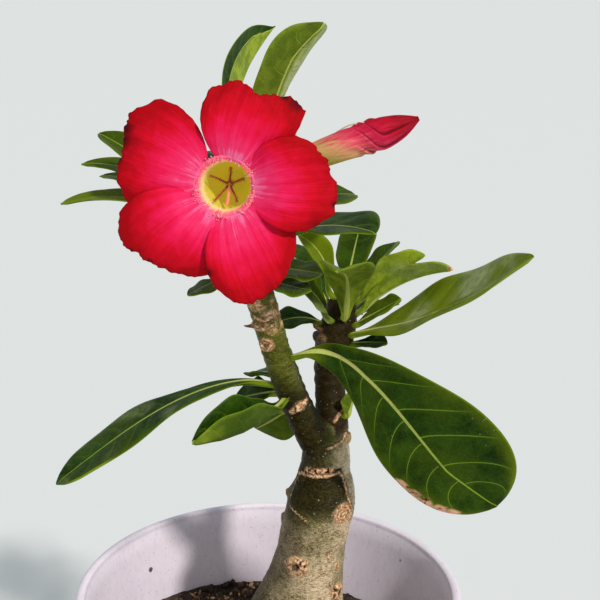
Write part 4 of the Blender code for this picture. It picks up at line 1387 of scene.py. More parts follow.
KNOBS = (
    Knob(T, 136.4, 313, 2.9, 0.9, dent=0.6),
    Knob(T, 119.4, 246, 3.0, 0.8, dent=0.6),
    Knob(T, 108.6, 330, 2.6, 0.8, dent=0.4),
    Knob(T, 139.5, 178, 1.4, 1.0),
    Knob(T, 130.6, 176, 1.6, 0.8),
    Knob(T, 112.0, 60, 2.8, 0.8, dent=0.5),
    Knob(T, 127.0, 110, 2.6, 0.8, dent=0.5),
    Knob(F, 196.5, 246, 2.2, 0.9, dent=0.9),
    Knob(F, 204.0, 250, 2.6, 0.8, dent=0.3),
    Knob(F, 173.7, 288, 1.9, 0.7),
    Knob(F, 199.0, 60, 2.0, 0.7, dent=0.4),
    Knob(R, 184.6, 168, 1.6, 1.2),
    Knob(R, 185.5, 222, 1.7, 1.2),
    Knob(R, 181.5, 290, 1.6, 1.1),
    Knob(R, 178.0, 70, 1.9, 1.0),
    Knob(T, 158.0, 0, 1.7, 1.2),
)
TWIGS = (
    ((24.0, 16.0, 189.0, 0.9), (27.2, 17.6, 190.6, 0.7), (29.2, 17.6, 190.8, 0.5)),
    ((17.0, 12.5, 187.5, 1.0), (14.6, 11.2, 189.0, 0.7), (13.6, 10.6, 190.4, 0.45)),
    ((-0.6, -18.4, 201.5, 0.9), (-4.8, -19.2, 201.6, 0.7), (-6.2, -19.6, 202.2, 0.4)),
)


class Mark(Enum):
    """The kinds of mark on the bark."""

    SEAM = "a raised corky line"
    CRACK = "a thin dark crack"
    SCAR = "a round scar of corky rings"
    PITTED = "a corky patch with dark pits"


@dataclass(frozen=True)
class BarkMark:
    """A mark, laid on the stem where the picture shows its pixels."""

    kind: Mark
    pixels: tuple[tuple[float, float], ...]
    width: float


SEAM, CRACK, SCAR, PITTED = Mark
BARK_MARKS = tuple(BarkMark(*row) for row in (
    # The old cut's rim, and the seams that run down from its two ends
    (SEAM, ((299.4, 472.8), (306, 474.6), (316.8, 476.8), (327.6, 475.8), (338.5, 472.6)), 0.55),
    (
        SEAM, ((338.5, 472.6), (342.8, 477), (345, 484.7), (347, 493.4), (349.3, 501), (352.2, 510)), 0.42
    ),
    (SEAM, ((299.4, 472.8), (295.4, 480), (292, 489), (290, 496)), 0.22),
    (SEAM, ((288.4, 504), (292, 509.6), (297.8, 514.4), (303.8, 519.4), (307.5, 522)), 0.28),
    (PITTED, ((306, 470.5), (313, 471.5), (321, 472), (331, 470.8)), 1.0),
    (SCAR, ((342.8, 514),), 3.0),
    (PITTED, ((299.4, 567.7),), 2.7),
    (SEAM, ((285, 562), (287, 565.5), (291, 568.5)), 0.5),
    (SEAM, ((328, 554), (329.5, 559), (331, 561.5)), 0.4),
    (PITTED, ((337.4, 566),), 1.2),
    (PITTED, ((337.4, 594),), 2.6),
    (SEAM, ((331, 583), (333, 590)), 0.35),
    # On the front branch
    (PITTED, ((291.5, 413), (297, 409.5), (303, 405), (307, 401.5)), 1.05),
    (CRACK, ((296, 434), (304, 436.5), (311, 434)), 0.3),
    (CRACK, ((312, 428), (318, 431), (324, 429)), 0.3),
    (SEAM, ((254, 317), (262, 321), (271, 318)), 0.6),
    (SEAM, ((254, 325), (263, 329.5), (273, 326)), 0.5),
    (SCAR, ((266, 344),), 2.0),
    # On the rear branch
    (CRACK, ((339, 428), (343, 430)), 1.1),
    (SEAM, ((346, 433), (342, 441), (335, 446), (328, 449)), 0.45),
    (SEAM, ((335, 421), (339, 415), (344, 410)), 0.6),
    (SEAM, ((331, 350), (341, 353), (351, 350)), 0.5),
))


@dataclass
class Stems:
    """Root, trunk and branches as one bark-covered body, with their scars and dry stalks."""

    voxel: float = 0.46
    smoothing: int = 3

    def build(self) -> Piece:
        """Joins the stems into one skin, then weathers and dresses it.

        Returns:
            The bark.
        """
        shell = lofted(trunk_rings(72, 8))
        for stem in (F, R):
            shell += lofted(tube_rings(STEMS[stem], 56, 6))
        for knob in KNOBS:
            shell += knob.shell()
        for knots in TWIGS:
            shell += lofted(tube_rings(knots, 12, 4))
        finish = BarkFinish().make()
        rough = shell.made("stem_rough", finish)
        remesh = rough.modifiers.new("skin", "REMESH")
        remesh.mode, remesh.voxel_size = "VOXEL", self.voxel * MM
        smooth = rough.modifiers.new("smooth", "SMOOTH")
        smooth.factor, smooth.iterations = 0.5, self.smoothing
        mesh = evaluated(rough)
        bpy.data.objects.remove(rough)
        self._weather(mesh)
        mesh.materials.clear()
        mesh.materials.append(finish)
        mesh.shade_smooth()
        bark = linked("stem_bark", mesh)
        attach(bark, "root")
        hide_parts("trunk")
        return bark

    def _weather(self, mesh: bpy.types.Mesh) -> None:
        """Moves the skin in and out for grain and marks, and gives it its masks.

        Args:
            mesh: The stems' skin, changed in place.
        """
        count = len(mesh.vertices)
        flat = np.zeros(count * 3)
        mesh.vertices.foreach_get("co", flat)
        points = flat.reshape(-1, 3) / MM
        z = points[:, 2]
        normals = np.array([v.vector[:] for v in mesh.vertex_normals])
        tree = BVHTree.FromPolygons([Vector(p) for p in points], [p.vertices[:] for p in mesh.polygons])
        lift = 0.26 * value_noise(points, 9.0, 21) + 0.16 * value_noise(points, 3.2, 22)
        lift += 0.12 * value_noise(points * (1.0, 1.0, 1.7), 1.1, 23) - 0.2
        rings = np.sin(2 * np.pi * (z + 1.2 * value_noise(points, 5.0, 24)) / 3.3)
        lift += ease((z - 158.0) / 8.0) * 0.10 * rings
        cork, pit = np.zeros(count), np.zeros(count)
        for mark in BARK_MARKS:
            self._lay(mark, points, tree, lift, cork, pit)
        for knob in KNOBS:
            foot, outward = knob.place()
            near = np.linalg.norm(points - foot, axis=1) / (knob.radius * 1.25)
            facing = normals @ outward > -0.2
            ring = ease((1.02 - near) / 0.2) * ease((near - 0.45) / 0.2) * facing
            cork = np.maximum(cork, ring * (0.25 + 0.6 * (knob.dent > 0.3)))
            core = ease((0.45 - near) / 0.2) * facing
            pit = np.maximum(pit, core * (0.35 + 0.45 * (knob.dent > 0.3)))
        for knots in TWIGS:
            dry = ease((1.5 - distance(points, smooth_curve(knots, 4)[:, :3])) / 0.6)
            cork = np.maximum(cork, dry * 0.35)
            pit = np.maximum(pit, dry * 0.45)
        tan, dusk = self._zones(points, normals, cork, pit)
        moved = points + normals * lift[:, None]
        mesh.vertices.foreach_set("co", (moved * MM).ravel())
        for key, value in (("tan", tan), ("dusk", dusk), ("cork", cork), ("pit", pit)):
            layer = mesh.attributes.new(key, "FLOAT", "POINT")
            layer.data.foreach_set("value", np.clip(value, 0, 1).astype(np.float32))
        mesh.update()

    @staticmethod
    def _zones(points: Array, normals: Array, cork: Array, pit: Array) -> tuple[Array, Array]:
        """Where the bark is tan or dusky, with painted light and shade in both; all the rest is olive.

        Args:
            points: The skin's points in millimetres.
            normals: Its normals.
            cork: The corky mask, changed in place.
            pit: The dark mask, changed in place.

        Returns:
            The tan mask, with painted light and shade, and the dusky one, with painted shade.
        """
        x, y, z = points.T
        wander = z + 2.5 * value_noise(points, 6.0, 25)
        front_axis, rear_axis = (
            distance(points, smooth_curve(STEMS[stem], 2)[:, :3]) for stem in (F, R)
        )
        rear = ease(0.5 + (front_axis - rear_axis) / 1.5) * ease((z - 157.0) / 4.0)
        # The window under the old cut, and the neck over it, are dusky; the neck stops short of its
        # right side, where the tan mask holds painted light instead
        drop = np.clip(150.0 - z, 0.0, 20.0)
        inside = np.minimum(x - 7.3 + 0.15 * drop, 22.9 + 0.27 * drop - x)
        window = ease(inside / 1.2) * ease(1.0 - y / 4.0)
        window = window * ease((wander - 130.0) / 12.0) * (z < 150.5)
        neck = ease((z - 149.0) / 2.0) * ease((186.0 - wander) / 9.0) * ease((21.0 - x) / 5.0)
        # Painted shade: the side facing away from the light, to the left, darkens both masks
        painted_shade_left = 0.85 * ease((0.05 - normals[:, 0]) / 0.6) * ease((160.0 - z) / 10.0) * ease((z - 84.0) / 12.0)
        dusk = np.maximum(window, np.maximum(rear, np.maximum(neck, painted_shade_left)))
        tan = ease((139.0 - wander) / 6.0) * (0.86 + 0.50 * value_noise(points, 7.0, 27))
        # Painted light on the right, which faces the light, and a painted highlight on the neck's right
        painted_light_right = ease((x - 18.5) / 3.5) * (y < 8.0)
        tan = np.maximum(tan, (0.3 + 0.45 * painted_light_right) * ease((z - 128.0) / 4.0) * ease((162.0 - z) / 8.0))
        painted_highlight_right = 0.5 * ease((x - 15.5) / 4.5) * ease((z - 158.0) / 8.0) * ease((184.0 - z) / 8.0)
        tan = np.maximum(tan, painted_highlight_right * (y < 8.0) * (1 - rear))
        # Painted shade: the tan is darkened on the swell's left shoulder down to a slanting line,
        # and on its foot
        shoulder = ease((14.5 - 0.3 * (133.0 - z) - x) / 6.0) * ease((z - 104.0) / 14.0)
        foot = ease((9.5 - x) / 6.0) * ease((119.0 - z) / 5.0)
        tan = tan * (1 - window) * (1 - 0.85 * neck) * (1 - 0.45 * painted_shade_left) * (1 - 0.38 * shoulder)
        tan = tan * (1 - 0.48 * foot)
        np.maximum(pit, 0.35 * rear, out=pit)
        crown = ease((z - 199.0) / 4.0) * ease((214.0 - z) / 4.0) * ease(-y / 10.0)
        np.maximum(cork, 0.95 * crown * ease(0.5 + 1.2 * value_noise(points, 2.2, 26)), out=cork)
        return tan, dusk

    def _lay(
        self, mark: BarkMark, points: Array, tree: BVHTree, lift: Array, cork: Array, pit: Array
    ) -> None:
        """Lays one mark on the skin.

        Args:
            mark: The mark.
            points: The skin's points in millimetres.
            tree: The skin, for finding where the mark's pixels fall.
            lift: How far each point moves out, changed in place.
            cork: The corky mask, changed in place.
            pit: The dark mask, changed in place.
        """
        spots = [VIEW.landing(*pixel, tree) for pixel in mark.pixels]
        spots = [spot for spot in spots if spot is not None]
        if not spots:
            LOG.warning("a mark at %s misses the stems", mark.pixels[0])
            return
        path = smooth_curve(spots, 6) if len(spots) > 1 else np.array(spots)
        close = np.where(np.linalg.norm(points - path.mean(axis=0), axis=1) < 40.0)[0]
        near = np.full(len(points), 1e3)
        near[close] = distance(points[close], path)
        grain = value_noise(points, 0.9, 31)
        shape = near / mark.width + 0.25 * grain
        inside = ease((1.25 - shape) / 0.5)
        if mark.kind is SEAM:
            lift += 0.30 * inside * min(1.0, mark.width + 0.4)
            np.maximum(cork, inside, out=cork)
            np.maximum(pit, 0.7 * ease((1.9 - shape) / 0.3) * (1 - inside), out=pit)
        elif mark.kind is CRACK:
            lift -= 0.25 * inside
            np.maximum(pit, inside * 0.8, out=pit)
        elif mark.kind is SCAR:
            waves = 0.5 + 0.5 * np.sin(2 * np.pi * (near / 1.15 + 0.25 * grain))
            lift += inside * (0.10 + 0.28 * waves)
            np.maximum(cork, inside, out=cork)
            np.maximum(pit, inside * ease((0.35 - waves) / 0.3) * 0.75, out=pit)
        else:
            holes = ease((value_noise(points, 0.75, 33) - 0.22) / 0.25)
            lift += inside * (0.30 - 0.5 * holes)
            np.maximum(cork, inside, out=cork)
            np.maximum(pit, inside * holes, out=pit)


# The leaves


@dataclass(frozen=True)
class Leaf:
    """One leaf. It leaves its stem at height z, rises, then droops and sweeps round.

    A bend of 1 spreads the droop evenly and a greater one brings it nearer to the foot.
    The greater its point, the sharper its tip. Fresh goes from 0, dark and old, to 1, light
    and young, and the sheen value is how much painted sheen and light lies on its face, in patches.
    """

    name: str
    stem: Stem
    z: float
    heading: float
    rise: float
    droop: float
    length: float
    width: float
    sweep: float = 0.0
    roll: float = 0.0
    twist: float = 0.0
    fold: float = 12.0
    bend: float = 1.0
    widest: float = 0.66
    point: float = 0.8
    wave: float = 0.5
    fresh: float = 0.0
    painted_sheen: float = 0.0


LEAVES = (
    Leaf("leaf_broad", F, 190, 337, 22, 69, 78, 37, 26, 99, 8, 2, 5, 0.72, point=0.62, fresh=0.04),
    Leaf("leaf_long", F, 180, 201, 17, 51, 70, 19, -3, 7, -10, 2, 2.4, 0.72, fresh=0.03, painted_sheen=0.25),
    Leaf("leaf_cupped", F, 178, 244, -14, -20, 35, 21, -41, -9, 3, fold=74, widest=0.6, fresh=0.02),
    Leaf("leaf_shaded", F, 171, 131, -43, -9, 21, 19, -14, 29, 17, fold=-4, widest=0.6, fresh=0.2),
    Leaf("leaf_tucked", F, 178, 147, -19, 8, 18, 14, -8, -26, -3, fold=9),
    Leaf("leaf_small_left", F, 182, 125, -4, 30, 15, 9, fold=12),
    Leaf("crown_leaf_1", F, 234, 17, 92, 39, 59, 25, -37, -7, -18, fold=20, widest=0.76, fresh=0.33),
    Leaf("crown_leaf_2", F, 235, 111, 66, 58, 71.6, 15, -59, -98, 15, fold=1, point=1.3, fresh=1.0),
    Leaf("crown_leaf_3", F, 232.6, 146, 31, 16, 47.8, 14, roll=-5, fold=19, fresh=0.2),
    Leaf("crown_leaf_4", F, 228.2, 181, 64, 66, 45.5, 13.3, roll=-7, fold=10, widest=0.6, point=1.2,
         fresh=0.2),
    Leaf("crown_leaf_5", F, 226, 141, 32, 42, 52.5, 11.3, roll=-3, fold=13, widest=0.6, point=1.2,
         fresh=0.18),
    Leaf("crown_leaf_6", F, 224, 192, 57, 70, 50.3, 11, roll=1, fold=14, widest=0.6, point=1.1, fresh=0.45),
    Leaf("crown_leaf_7", F, 221.5, 214, -10, 10, 15, 12, -14, 9, fold=0, fresh=0.22),
    Leaf("crown_leaf_8", F, 229, 38, 30, 47, 38, 14, roll=12, fold=10, fresh=0.15),
    Leaf("crown_leaf_9", F, 226, 335, 39, 44, 39, 22, -13, 4, -5, fold=8, widest=0.72, fresh=0.05),
    Leaf("crown_leaf_10", F, 221, 332, -18, -18, 14, 13, 16, fold=2, fresh=0.2),
    Leaf("crown_leaf_11", F, 222, 351, -2, 4, 16, 16, fold=4, fresh=0.3),
    Leaf("crown_leaf_12", F, 229, 102, 46, 60, 44, 18),
    Leaf("crown_leaf_13", F, 223, 112, 10, 50, 38, 16),
    Leaf("rear_leaf_1", R, 197, 217, 92, 60, 26, 9, -2, -70, fold=22, fresh=0.6),
    Leaf("rear_leaf_2", R, 194.8, 76, 46, 20, 29, 13, roll=-16, fold=3, fresh=0.12),
    Leaf("rear_leaf_3", R, 192, 35, 71, 49, 24.1, 12.5, 2, -24, fold=17, point=0.9, fresh=0.12),
    Leaf("rear_leaf_4", R, 194.5, 0, 43, 14, 25, 16, roll=-36, fold=25, fresh=1.0, painted_sheen=0.35),
    Leaf("rear_leaf_5", R, 191.2, 350, 52, 46, 33, 14, roll=-32, fold=20, fresh=0.85, painted_sheen=0.3),
    Leaf("rear_leaf_6", R, 185.5, 322, 23, -18, 70, 25.5, 4, 21, -5, fold=11, widest=0.47, point=0.68,
         fresh=0.6, painted_sheen=0.7),
    Leaf("rear_leaf_7", R, 191, 281, 72, 60, 41, 17, -30, -5, 6, fold=21, fresh=0.6),
    Leaf("rear_leaf_8", R, 190, 237, 62, 29, 23, 14, -8, -50, -10, fold=18, fresh=0.2, painted_sheen=0.3),
    Leaf("rear_leaf_9", R, 188, 190, 28, 59, 16, 12, 0, -9, fold=7),
    Leaf("rear_leaf_10", R, 188.1, 331, 34, -4, 18, 8, roll=29, fold=18, fresh=0.35),
    Leaf("rear_leaf_11", R, 183, 338, 12, 5, 11, 7, roll=11, fold=9),
    Leaf("rear_leaf_12", R, 190, 125, 50, 60, 34, 15),
    Leaf("rear_leaf_13", R, 187, 60, 10, 40, 30, 13),
    Leaf("rear_leaf_14", R, 163, 320, 78, 10, 9, 6, fold=24, fresh=0.5),
)
# Where a midrib runs off its blade's middle: millimetres from its foot, share of half the width
RIB_SIDES = {
    "crown_leaf_1": ((0, 0.0), (8, -0.15), (20, -0.26), (47, -0.26), (55, -0.12), (59, 0.0)),
    "crown_leaf_2": ((0, 0.0), (12, -0.3), (25, -0.45), (60, -0.45), (71, 0.0)),
    "leaf_cupped": ((0, 0.0), (8, -0.2), (18, -0.4), (30, -0.4), (40, 0.0)),
    "leaf_broad": (
        (0, 0.0), (8, 0.2), (14, 0.22), (23, 0.0), (31, -0.06), (40, -0.11), (60, -0.2), (78, -0.08)
    ),
    "rear_leaf_6": ((0, 0.0), (10, -0.1), (19, -0.3), (34, -0.4), (46, -0.6), (62, -0.6), (70, -0.3)),
}
# Where the broad leaf's veins leave its midrib on each side, in mm
BROAD_VEINS = {-1: [14.6, 22.7, 30.9, 40.1, 48.7, 57.3, 64.5], 1: [15.5, 24.8, 36.4, 46.9, 57.9, 66.1]}


@dataclass
class Foliage:
    """All leaves, as thin leathery blades with ribs, veins and rolled margins."""

    blade_thickness: float = 0.85
    margin_thickness: float = 0.65
    rib_half_width: float = 1.1
    rib_depth: float = 1.0
    petiole_width: float = 2.6
    tip_width: float = 0.5
    petiole_share: float = 0.14
    waves: float = 2.5
    wide_leaf: float = 15.0
    vein_pitch: float = 9.0
    rib_map: float = 0.60

    def build(self) -> list[Piece]:
        """Builds every leaf.

        Returns:
            The blades.
        """
        surface = stem_surface()
        finish = LeafFinish().make()
        made = []
        for number, leaf in enumerate(LEAVES):
            blade = self._blade(leaf, surface, number).made(f"{leaf.name}_blade", finish)
            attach(blade, "root")
            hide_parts(leaf.name)
            made.append(blade)
        return made

    def _midrib(self, leaf: Leaf, base: Array, steps: int = 160) -> tuple[Array, ...]:
        """The line that a leaf's midrib follows.

        Args:
            leaf: The leaf.
            base: Where it leaves its stem.
            steps: How many steps the line has.

        Returns:
            Shares of its length, and the points, side vectors and normals there.
        """
        s = np.linspace(0, 1, steps + 1)
        exit_angle = np.clip(leaf.rise, -20.0, 45.0)
        elevation = leaf.rise - leaf.droop * (1 - (1 - s) ** leaf.bend)
        elevation = exit_angle + (elevation - exit_angle) * ease(s / self.petiole_share)
        heading = leaf.heading + leaf.sweep * s
        tangents = np.array([direction(h, e) for h, e in zip(heading, elevation)])
        hops = (tangents[1:] + tangents[:-1]) / 2 * leaf.length / steps
        path = base + np.vstack([np.zeros(3), np.cumsum(hops, axis=0)])
        level = np.radians(heading)
        sides = np.stack([-np.sin(level), np.cos(level), np.zeros_like(level)], axis=1)
        normals = np.cross(tangents, sides)
        roll = np.radians(leaf.roll + leaf.twist * s) * ease(s / 0.2)
        cos, sin = np.cos(roll)[:, None], np.sin(roll)[:, None]
        return s, path, sides * cos + normals * sin, normals * cos - sides * sin

    def _half_width(self, leaf: Leaf, s: Array) -> Array:
        """Half the blade's width.

        Args:
            leaf: The leaf.
            s: Shares of its length.

        Returns:
            The half width at each, in millimetres.
        """
        rising = np.sin(np.pi / 2 * np.clip(s / leaf.widest, 0, 1)) ** 1.4
        past = np.clip((s - leaf.widest) / (1 - leaf.widest), 0, 1)
        closing = (1 - past**2.2) ** leaf.point
        blade = leaf.width / 2 * rising * closing
        petiole = self.petiole_width / 2 * (1 - s)
        return np.maximum(np.sqrt(blade**2 + petiole**2), self.tip_width / 2)

    def _blade(self, leaf: Leaf, surface: BVHTree, number: int) -> Shell:
        """One leaf with its relief and its maps.

        Args:
            leaf: The leaf's sizes.
            surface: The stems' skin.
            number: Shifts its random pattern.

        Returns:
            The closed blade.
        """
        axis = stem_axis(leaf.stem, leaf.z)
        outward = direction(leaf.heading, np.clip(leaf.rise, -20.0, 20.0))
        base = np.array(surface.ray_cast(Vector(axis), Vector(outward))[0])
        s_fine, path, sides, normals = self._midrib(leaf, base)
        rows = int(np.clip(leaf.length * 1.25, 30, 92))
        columns = int(np.clip(leaf.width * 1.15, 14, 42)) // 2 * 2 + 1
        # Rows are closer at both ends, and columns at both margins
        even = np.linspace(0, 1, rows)
        s = 0.6 * even + 0.4 * (0.5 - 0.5 * np.cos(np.pi * even))
        t = np.sin(np.linspace(-1, 1, columns) * np.pi / 2)
        t = 0.45 * t + 0.55 * np.linspace(-1, 1, columns)
        t[np.abs(t) > 0.999] = np.sign(t[np.abs(t) > 0.999])
        spot, side, normal = (
            np.stack([np.interp(s, s_fine, column) for column in line.T], axis=1)[:, None, :]
            for line in (path, sides, normals)
        )
        half = self._half_width(leaf, s)[:, None]
        reach = np.abs(t)[None, :] * np.ones_like(half)
        fold = np.radians(leaf.fold) * ease(s / 0.25)[:, None]
        ripple = leaf.wave * np.sin(2 * np.pi * self.waves * s[:, None] + np.sign(t)) * reach**2
        ripple = ripple * np.minimum(1, 2 * half / self.wide_leaf)
        out = half * t * np.cos(fold)
        up = half * reach * np.sin(fold) + ripple
        upper = spot + side * out[..., None] + normal * up[..., None]
        skin = skin_normals(upper)
        middle = self._rib_side(leaf, s)
        offset = (t - middle) / np.where(t > middle, 1 - middle, 1 + middle)
        lateral = self._lateral(leaf, s, offset, number)
        near = half * np.abs(offset)
        rib_width = self.rib_map * (0.35 + 0.65 * min(1.0, leaf.width / 30)) * (1.3 - s[:, None])
        rib = np.exp(-((near / self.rib_half_width) ** 2))
        depth = rib * self.rib_depth * (1 - 0.75 * s[:, None])
        body = self.margin_thickness + (self.blade_thickness - self.margin_thickness) * (1 - reach**2)
        edge = np.sqrt(np.clip(1 - (np.clip(reach - 0.86, 0, 1) / 0.14) ** 2, 0.03, 1))
        tip = np.clip((1 - s[:, None]) / 0.03, 0.2, 1)
        blade = body * np.minimum(edge, tip)
        pillow = np.abs(np.cos(np.pi * lateral)) ** 0.7 * ease(near / 2.5) * ease((1 - reach) / 0.25)
        relief = 0.34 * np.minimum(1, leaf.width / 20) * (pillow - 1.0) * ease(near / 2.5)
        groove = 0.22 * np.exp(-((near / 0.7) ** 2)) * ease(s[:, None] / 0.1)
        top = upper - skin * ((body - blade) / 2 - relief + groove)[..., None]
        under = upper - skin * ((body + blade) / 2 + depth - relief * 0.7)[..., None]
        inwards = unit(axis + (base - axis) * 0.35 - base) * 1.6
        for face in (top, under):
            face[0] += inwards
        shell = bladed(top, under)
        along, edge, flat = (on_both(grid, reach.shape) for grid in (s[:, None], reach, offset))
        shell.values = self._tones(leaf, shell, number, along, edge, flat)
        beside = on_both(half * offset / rib_width, reach.shape)
        shell.maps = {
            "veins": np.column_stack([on_both(lateral, reach.shape), edge]),
            "span": np.column_stack([along, beside]),
        }
        return shell

    def _tones(
        self, leaf: Leaf, shell: Shell, number: int, along: Array, edge: Array, flat: Array
    ) -> dict[str, Array]:
        """The masks that tint a leaf, with what a few leaves show of their own.

        Args:
            leaf: The leaf.
            shell: Its blade.
            number: Shifts its random pattern.
            along: Each point's share of the leaf's length.
            edge: How far out towards the margin each lies, from 0 to 1.
            flat: Where each lies across the leaf, from -1 to 1, with 0 on the midrib.

        Returns:
            The masks by name.
        """
        face_up = shell.values["upper"]
        uneven = 0.35 if leaf.name == "rear_leaf_6" else 0.08
        fresh = leaf.fresh + uneven * value_noise(shell.points, 9.0, number)
        # Painted sheen and light, in patches
        pale = leaf.painted_sheen * ease(2.4 * (value_noise(shell.points, 8.0, number + 50) - 0.02))
        rim = ease((edge - 0.72) / 0.28) * 0.18 * ease(along * 3)
        rim += 0.6 * ease((0.17 - along) / 0.13)
        if leaf.name == "leaf_cupped":
            # Painted shade and light: its upper half takes the upper face's colour, painted darker for
            # its own shade, and its lower half is painted lighter towards the tip, as if light came through
            face_up = np.where(flat < 0.0, 1.0, 0.0)
            fresh = fresh + 0.5 * ease((along - 0.6) / 0.4) * (1 - face_up) - 0.5 * face_up
        elif leaf.name == "crown_leaf_1":
            # Painted sheen on its right strip, which is also painted lighter
            pale = 0.85 * ease((flat - 0.05) / 0.06) * ease((0.95 - flat) / 0.1)
            fresh = fresh + 0.5 * ease((flat - 0.05) / 0.06)
        elif leaf.name == "crown_leaf_2":
            # Its upper face shows as a dark crescent along the rolled margin, painted darker still as shade
            face_up = np.where(flat < 0.0, 1.0, face_up)
            fresh = fresh - 1.1 * (flat < 0.0)
        elif leaf.name == "leaf_long":
            turned_over = ease((along - 0.72) / 0.10) * ease((0.97 - along) / 0.06)
            rim = rim + turned_over * ease((flat - 0.88) / 0.05)
        elif leaf.name == "leaf_broad":
            rim = rim + 0.28 * ease((along - 0.55) / 0.4) * ease((edge - 0.55) / 0.45)
        return {
            "upper": face_up,
            "fresh": np.clip(fresh + rim, 0, 1),
            "scorch": self._scorch(leaf, shell.points, edge, along),
            "veined": np.full(len(flat), 0.62 * min(1.0, (leaf.width / 34) ** 2)),
            "pale": np.clip(pale, 0, 1),
        }

    def _rib_side(self, leaf: Leaf, s: Array) -> Array:
        """How far the midrib lies off the blade's middle, as a share of half its width."""
        places, sides = zip(*RIB_SIDES.get(leaf.name, ((0, 0.0),)))
        return np.interp(s * leaf.length, places, sides)[:, None]

    def _lateral(self, leaf: Leaf, s: Array, offset: Array, number: int) -> Array:
        """Counts the lateral veins: one runs at each whole number and a half.

        Args:
            leaf: The leaf.
            s: Shares of its length.
            offset: Places across it, from -1 to 1, with 0 on the midrib.
            number: Shifts its random pattern.

        Returns:
            The count at each place.
        """
        count = np.zeros_like(offset)
        for way, (gain, power) in ((-1, (12.0, 2.3)), (1, (14.0, 1.3))):
            roots = BROAD_VEINS[way] if leaf.name == "leaf_broad" else self._roots(leaf, number, way)
            advance = gain * leaf.width / 37 * np.abs(offset) ** power
            marks = [roots[0] - 4, *roots, roots[-1] + 4]
            steps = [0.0, *(np.arange(len(roots)) + 0.5), len(roots)]
            found = np.interp(s[:, None] * leaf.length - advance, marks, steps)
            count = np.where(offset * way >= 0, found, count)
        return count

    def _roots(self, leaf: Leaf, number: int, way: int) -> list[float]:
        """Where the lateral veins leave the midrib.

        Args:
            leaf: The leaf.
            number: Shifts its random pattern.
            way: The side of the midrib, -1 or 1.

        Returns:
            Their distances from the leaf's foot in millimetres.
        """
        draw = np.random.default_rng(100 + 2 * number + way)
        pitch = self.vein_pitch * (0.42 + 0.58 * min(1.0, leaf.width / 34))
        start = leaf.length * 0.2 + pitch * draw.uniform(0.0, 0.8)
        roots = np.arange(start, leaf.length * 0.93, pitch)
        return list(roots + pitch * draw.uniform(-0.16, 0.16, len(roots)))

    def _scorch(self, leaf: Leaf, points: Array, edge: Array, along: Array) -> Array:
        """Where a leaf is burnt brown: the broad leaf's lower margin, and one leaf's tip.

        Args:
            leaf: The leaf.
            points: Its points in millimetres.
            edge: How far out towards the margin each lies, from 0 to 1.
            along: Each point's share of the leaf's length.

        Returns:
            A mask from 0 to 1.
        """
        if leaf.name == "leaf_broad":
            pixel = VIEW.pixels(points)
            track = np.array([(399, 487), (412, 497), (425, 505), (440, 511), (451, 515)], float)
            far = distance(pixel, track)
            grain = 2.0 * value_noise(points, 2.2, 41)
            return ease((9.0 - far + grain) / 2.0) * ease((edge - 0.80) / 0.06)
        if leaf.name == "rear_leaf_5":
            return ease((along - 0.955) / 0.03)
        return np.zeros(len(points))


# The flower


@dataclass(frozen=True)
class Lobe:
    """One lobe of the corolla.

    Cut rounds its corners off and skew draws one corner out past the other. Lift and tilt
    decide which neighbour it lies over. Burns are pixels near which it is dark. Its edge goes
    so many millimetres past the plain fan at places across it, from -1 to 1.
    """

    angle: float
    length: float
    width: float
    cut: float
    skew: float
    lift: float = 0.0
    tilt: float = 0.0
    burns: tuple[tuple[float, float, float], ...] = ()
    edge: tuple[tuple[float, float], ...] = ((0.0, 0.0),)


RIGHT_EDGE = ((-1, -1.5), (-0.85, -0.8), (-0.7, 0.2), (-0.3, 0.4), (0.3, -0.4), (0.7, -0.2), (0.85, 0.6))
TOP_EDGE = (
    (-0.5, 0.3), (-0.3, -0.2), (-0.12, -1.1), (0.05, -0.9), (0.3, 0.3), (0.5, 1.0), (0.7, 0.5), (1, -1.1)
)
LEFT_EDGE = ((-0.85, -0.2), (-0.5, 0.4), (0, -0.5), (0.3, 0.1))
LOW_LEFT_EDGE = ((-0.7, 0.5), (-0.3, -0.2), (0.15, 0.1), (0.7, 0.4))
LOW_EDGE = ((-0.7, -0.4), (-0.15, 0.5), (0, 0.5), (0.5, -0.6), (0.85, 0.4))
LOBES = (
    Lobe(5, 20.8, 24.2, 0.38, -1.6, 1.1, 0.0, ((318, 228, 9), (336, 205, 5)), RIGHT_EDGE),
    Lobe(70.5, 19.0, 24.4, 0.12, -1.2, 0.0, 1.1, ((298, 103, 12), (285, 96, 8), (204, 92, 5)), TOP_EDGE),
    Lobe(161, 21.5, 30.0, 0.36, -2.0, -1.1, 0.0, ((121, 142, 15), (126, 127, 10), (118, 158, 9)), LEFT_EDGE),
    Lobe(228, 20.3, 30.3, 0.46, -4.5, 0.0, -1.1, ((130, 252, 4), (150, 262, 4)), LOW_LEFT_EDGE),
    Lobe(294.5, 22.0, 24.6, 0.40, -3.0, 0.0, -1.1, ((209, 272, 7),), LOW_EDGE),
)


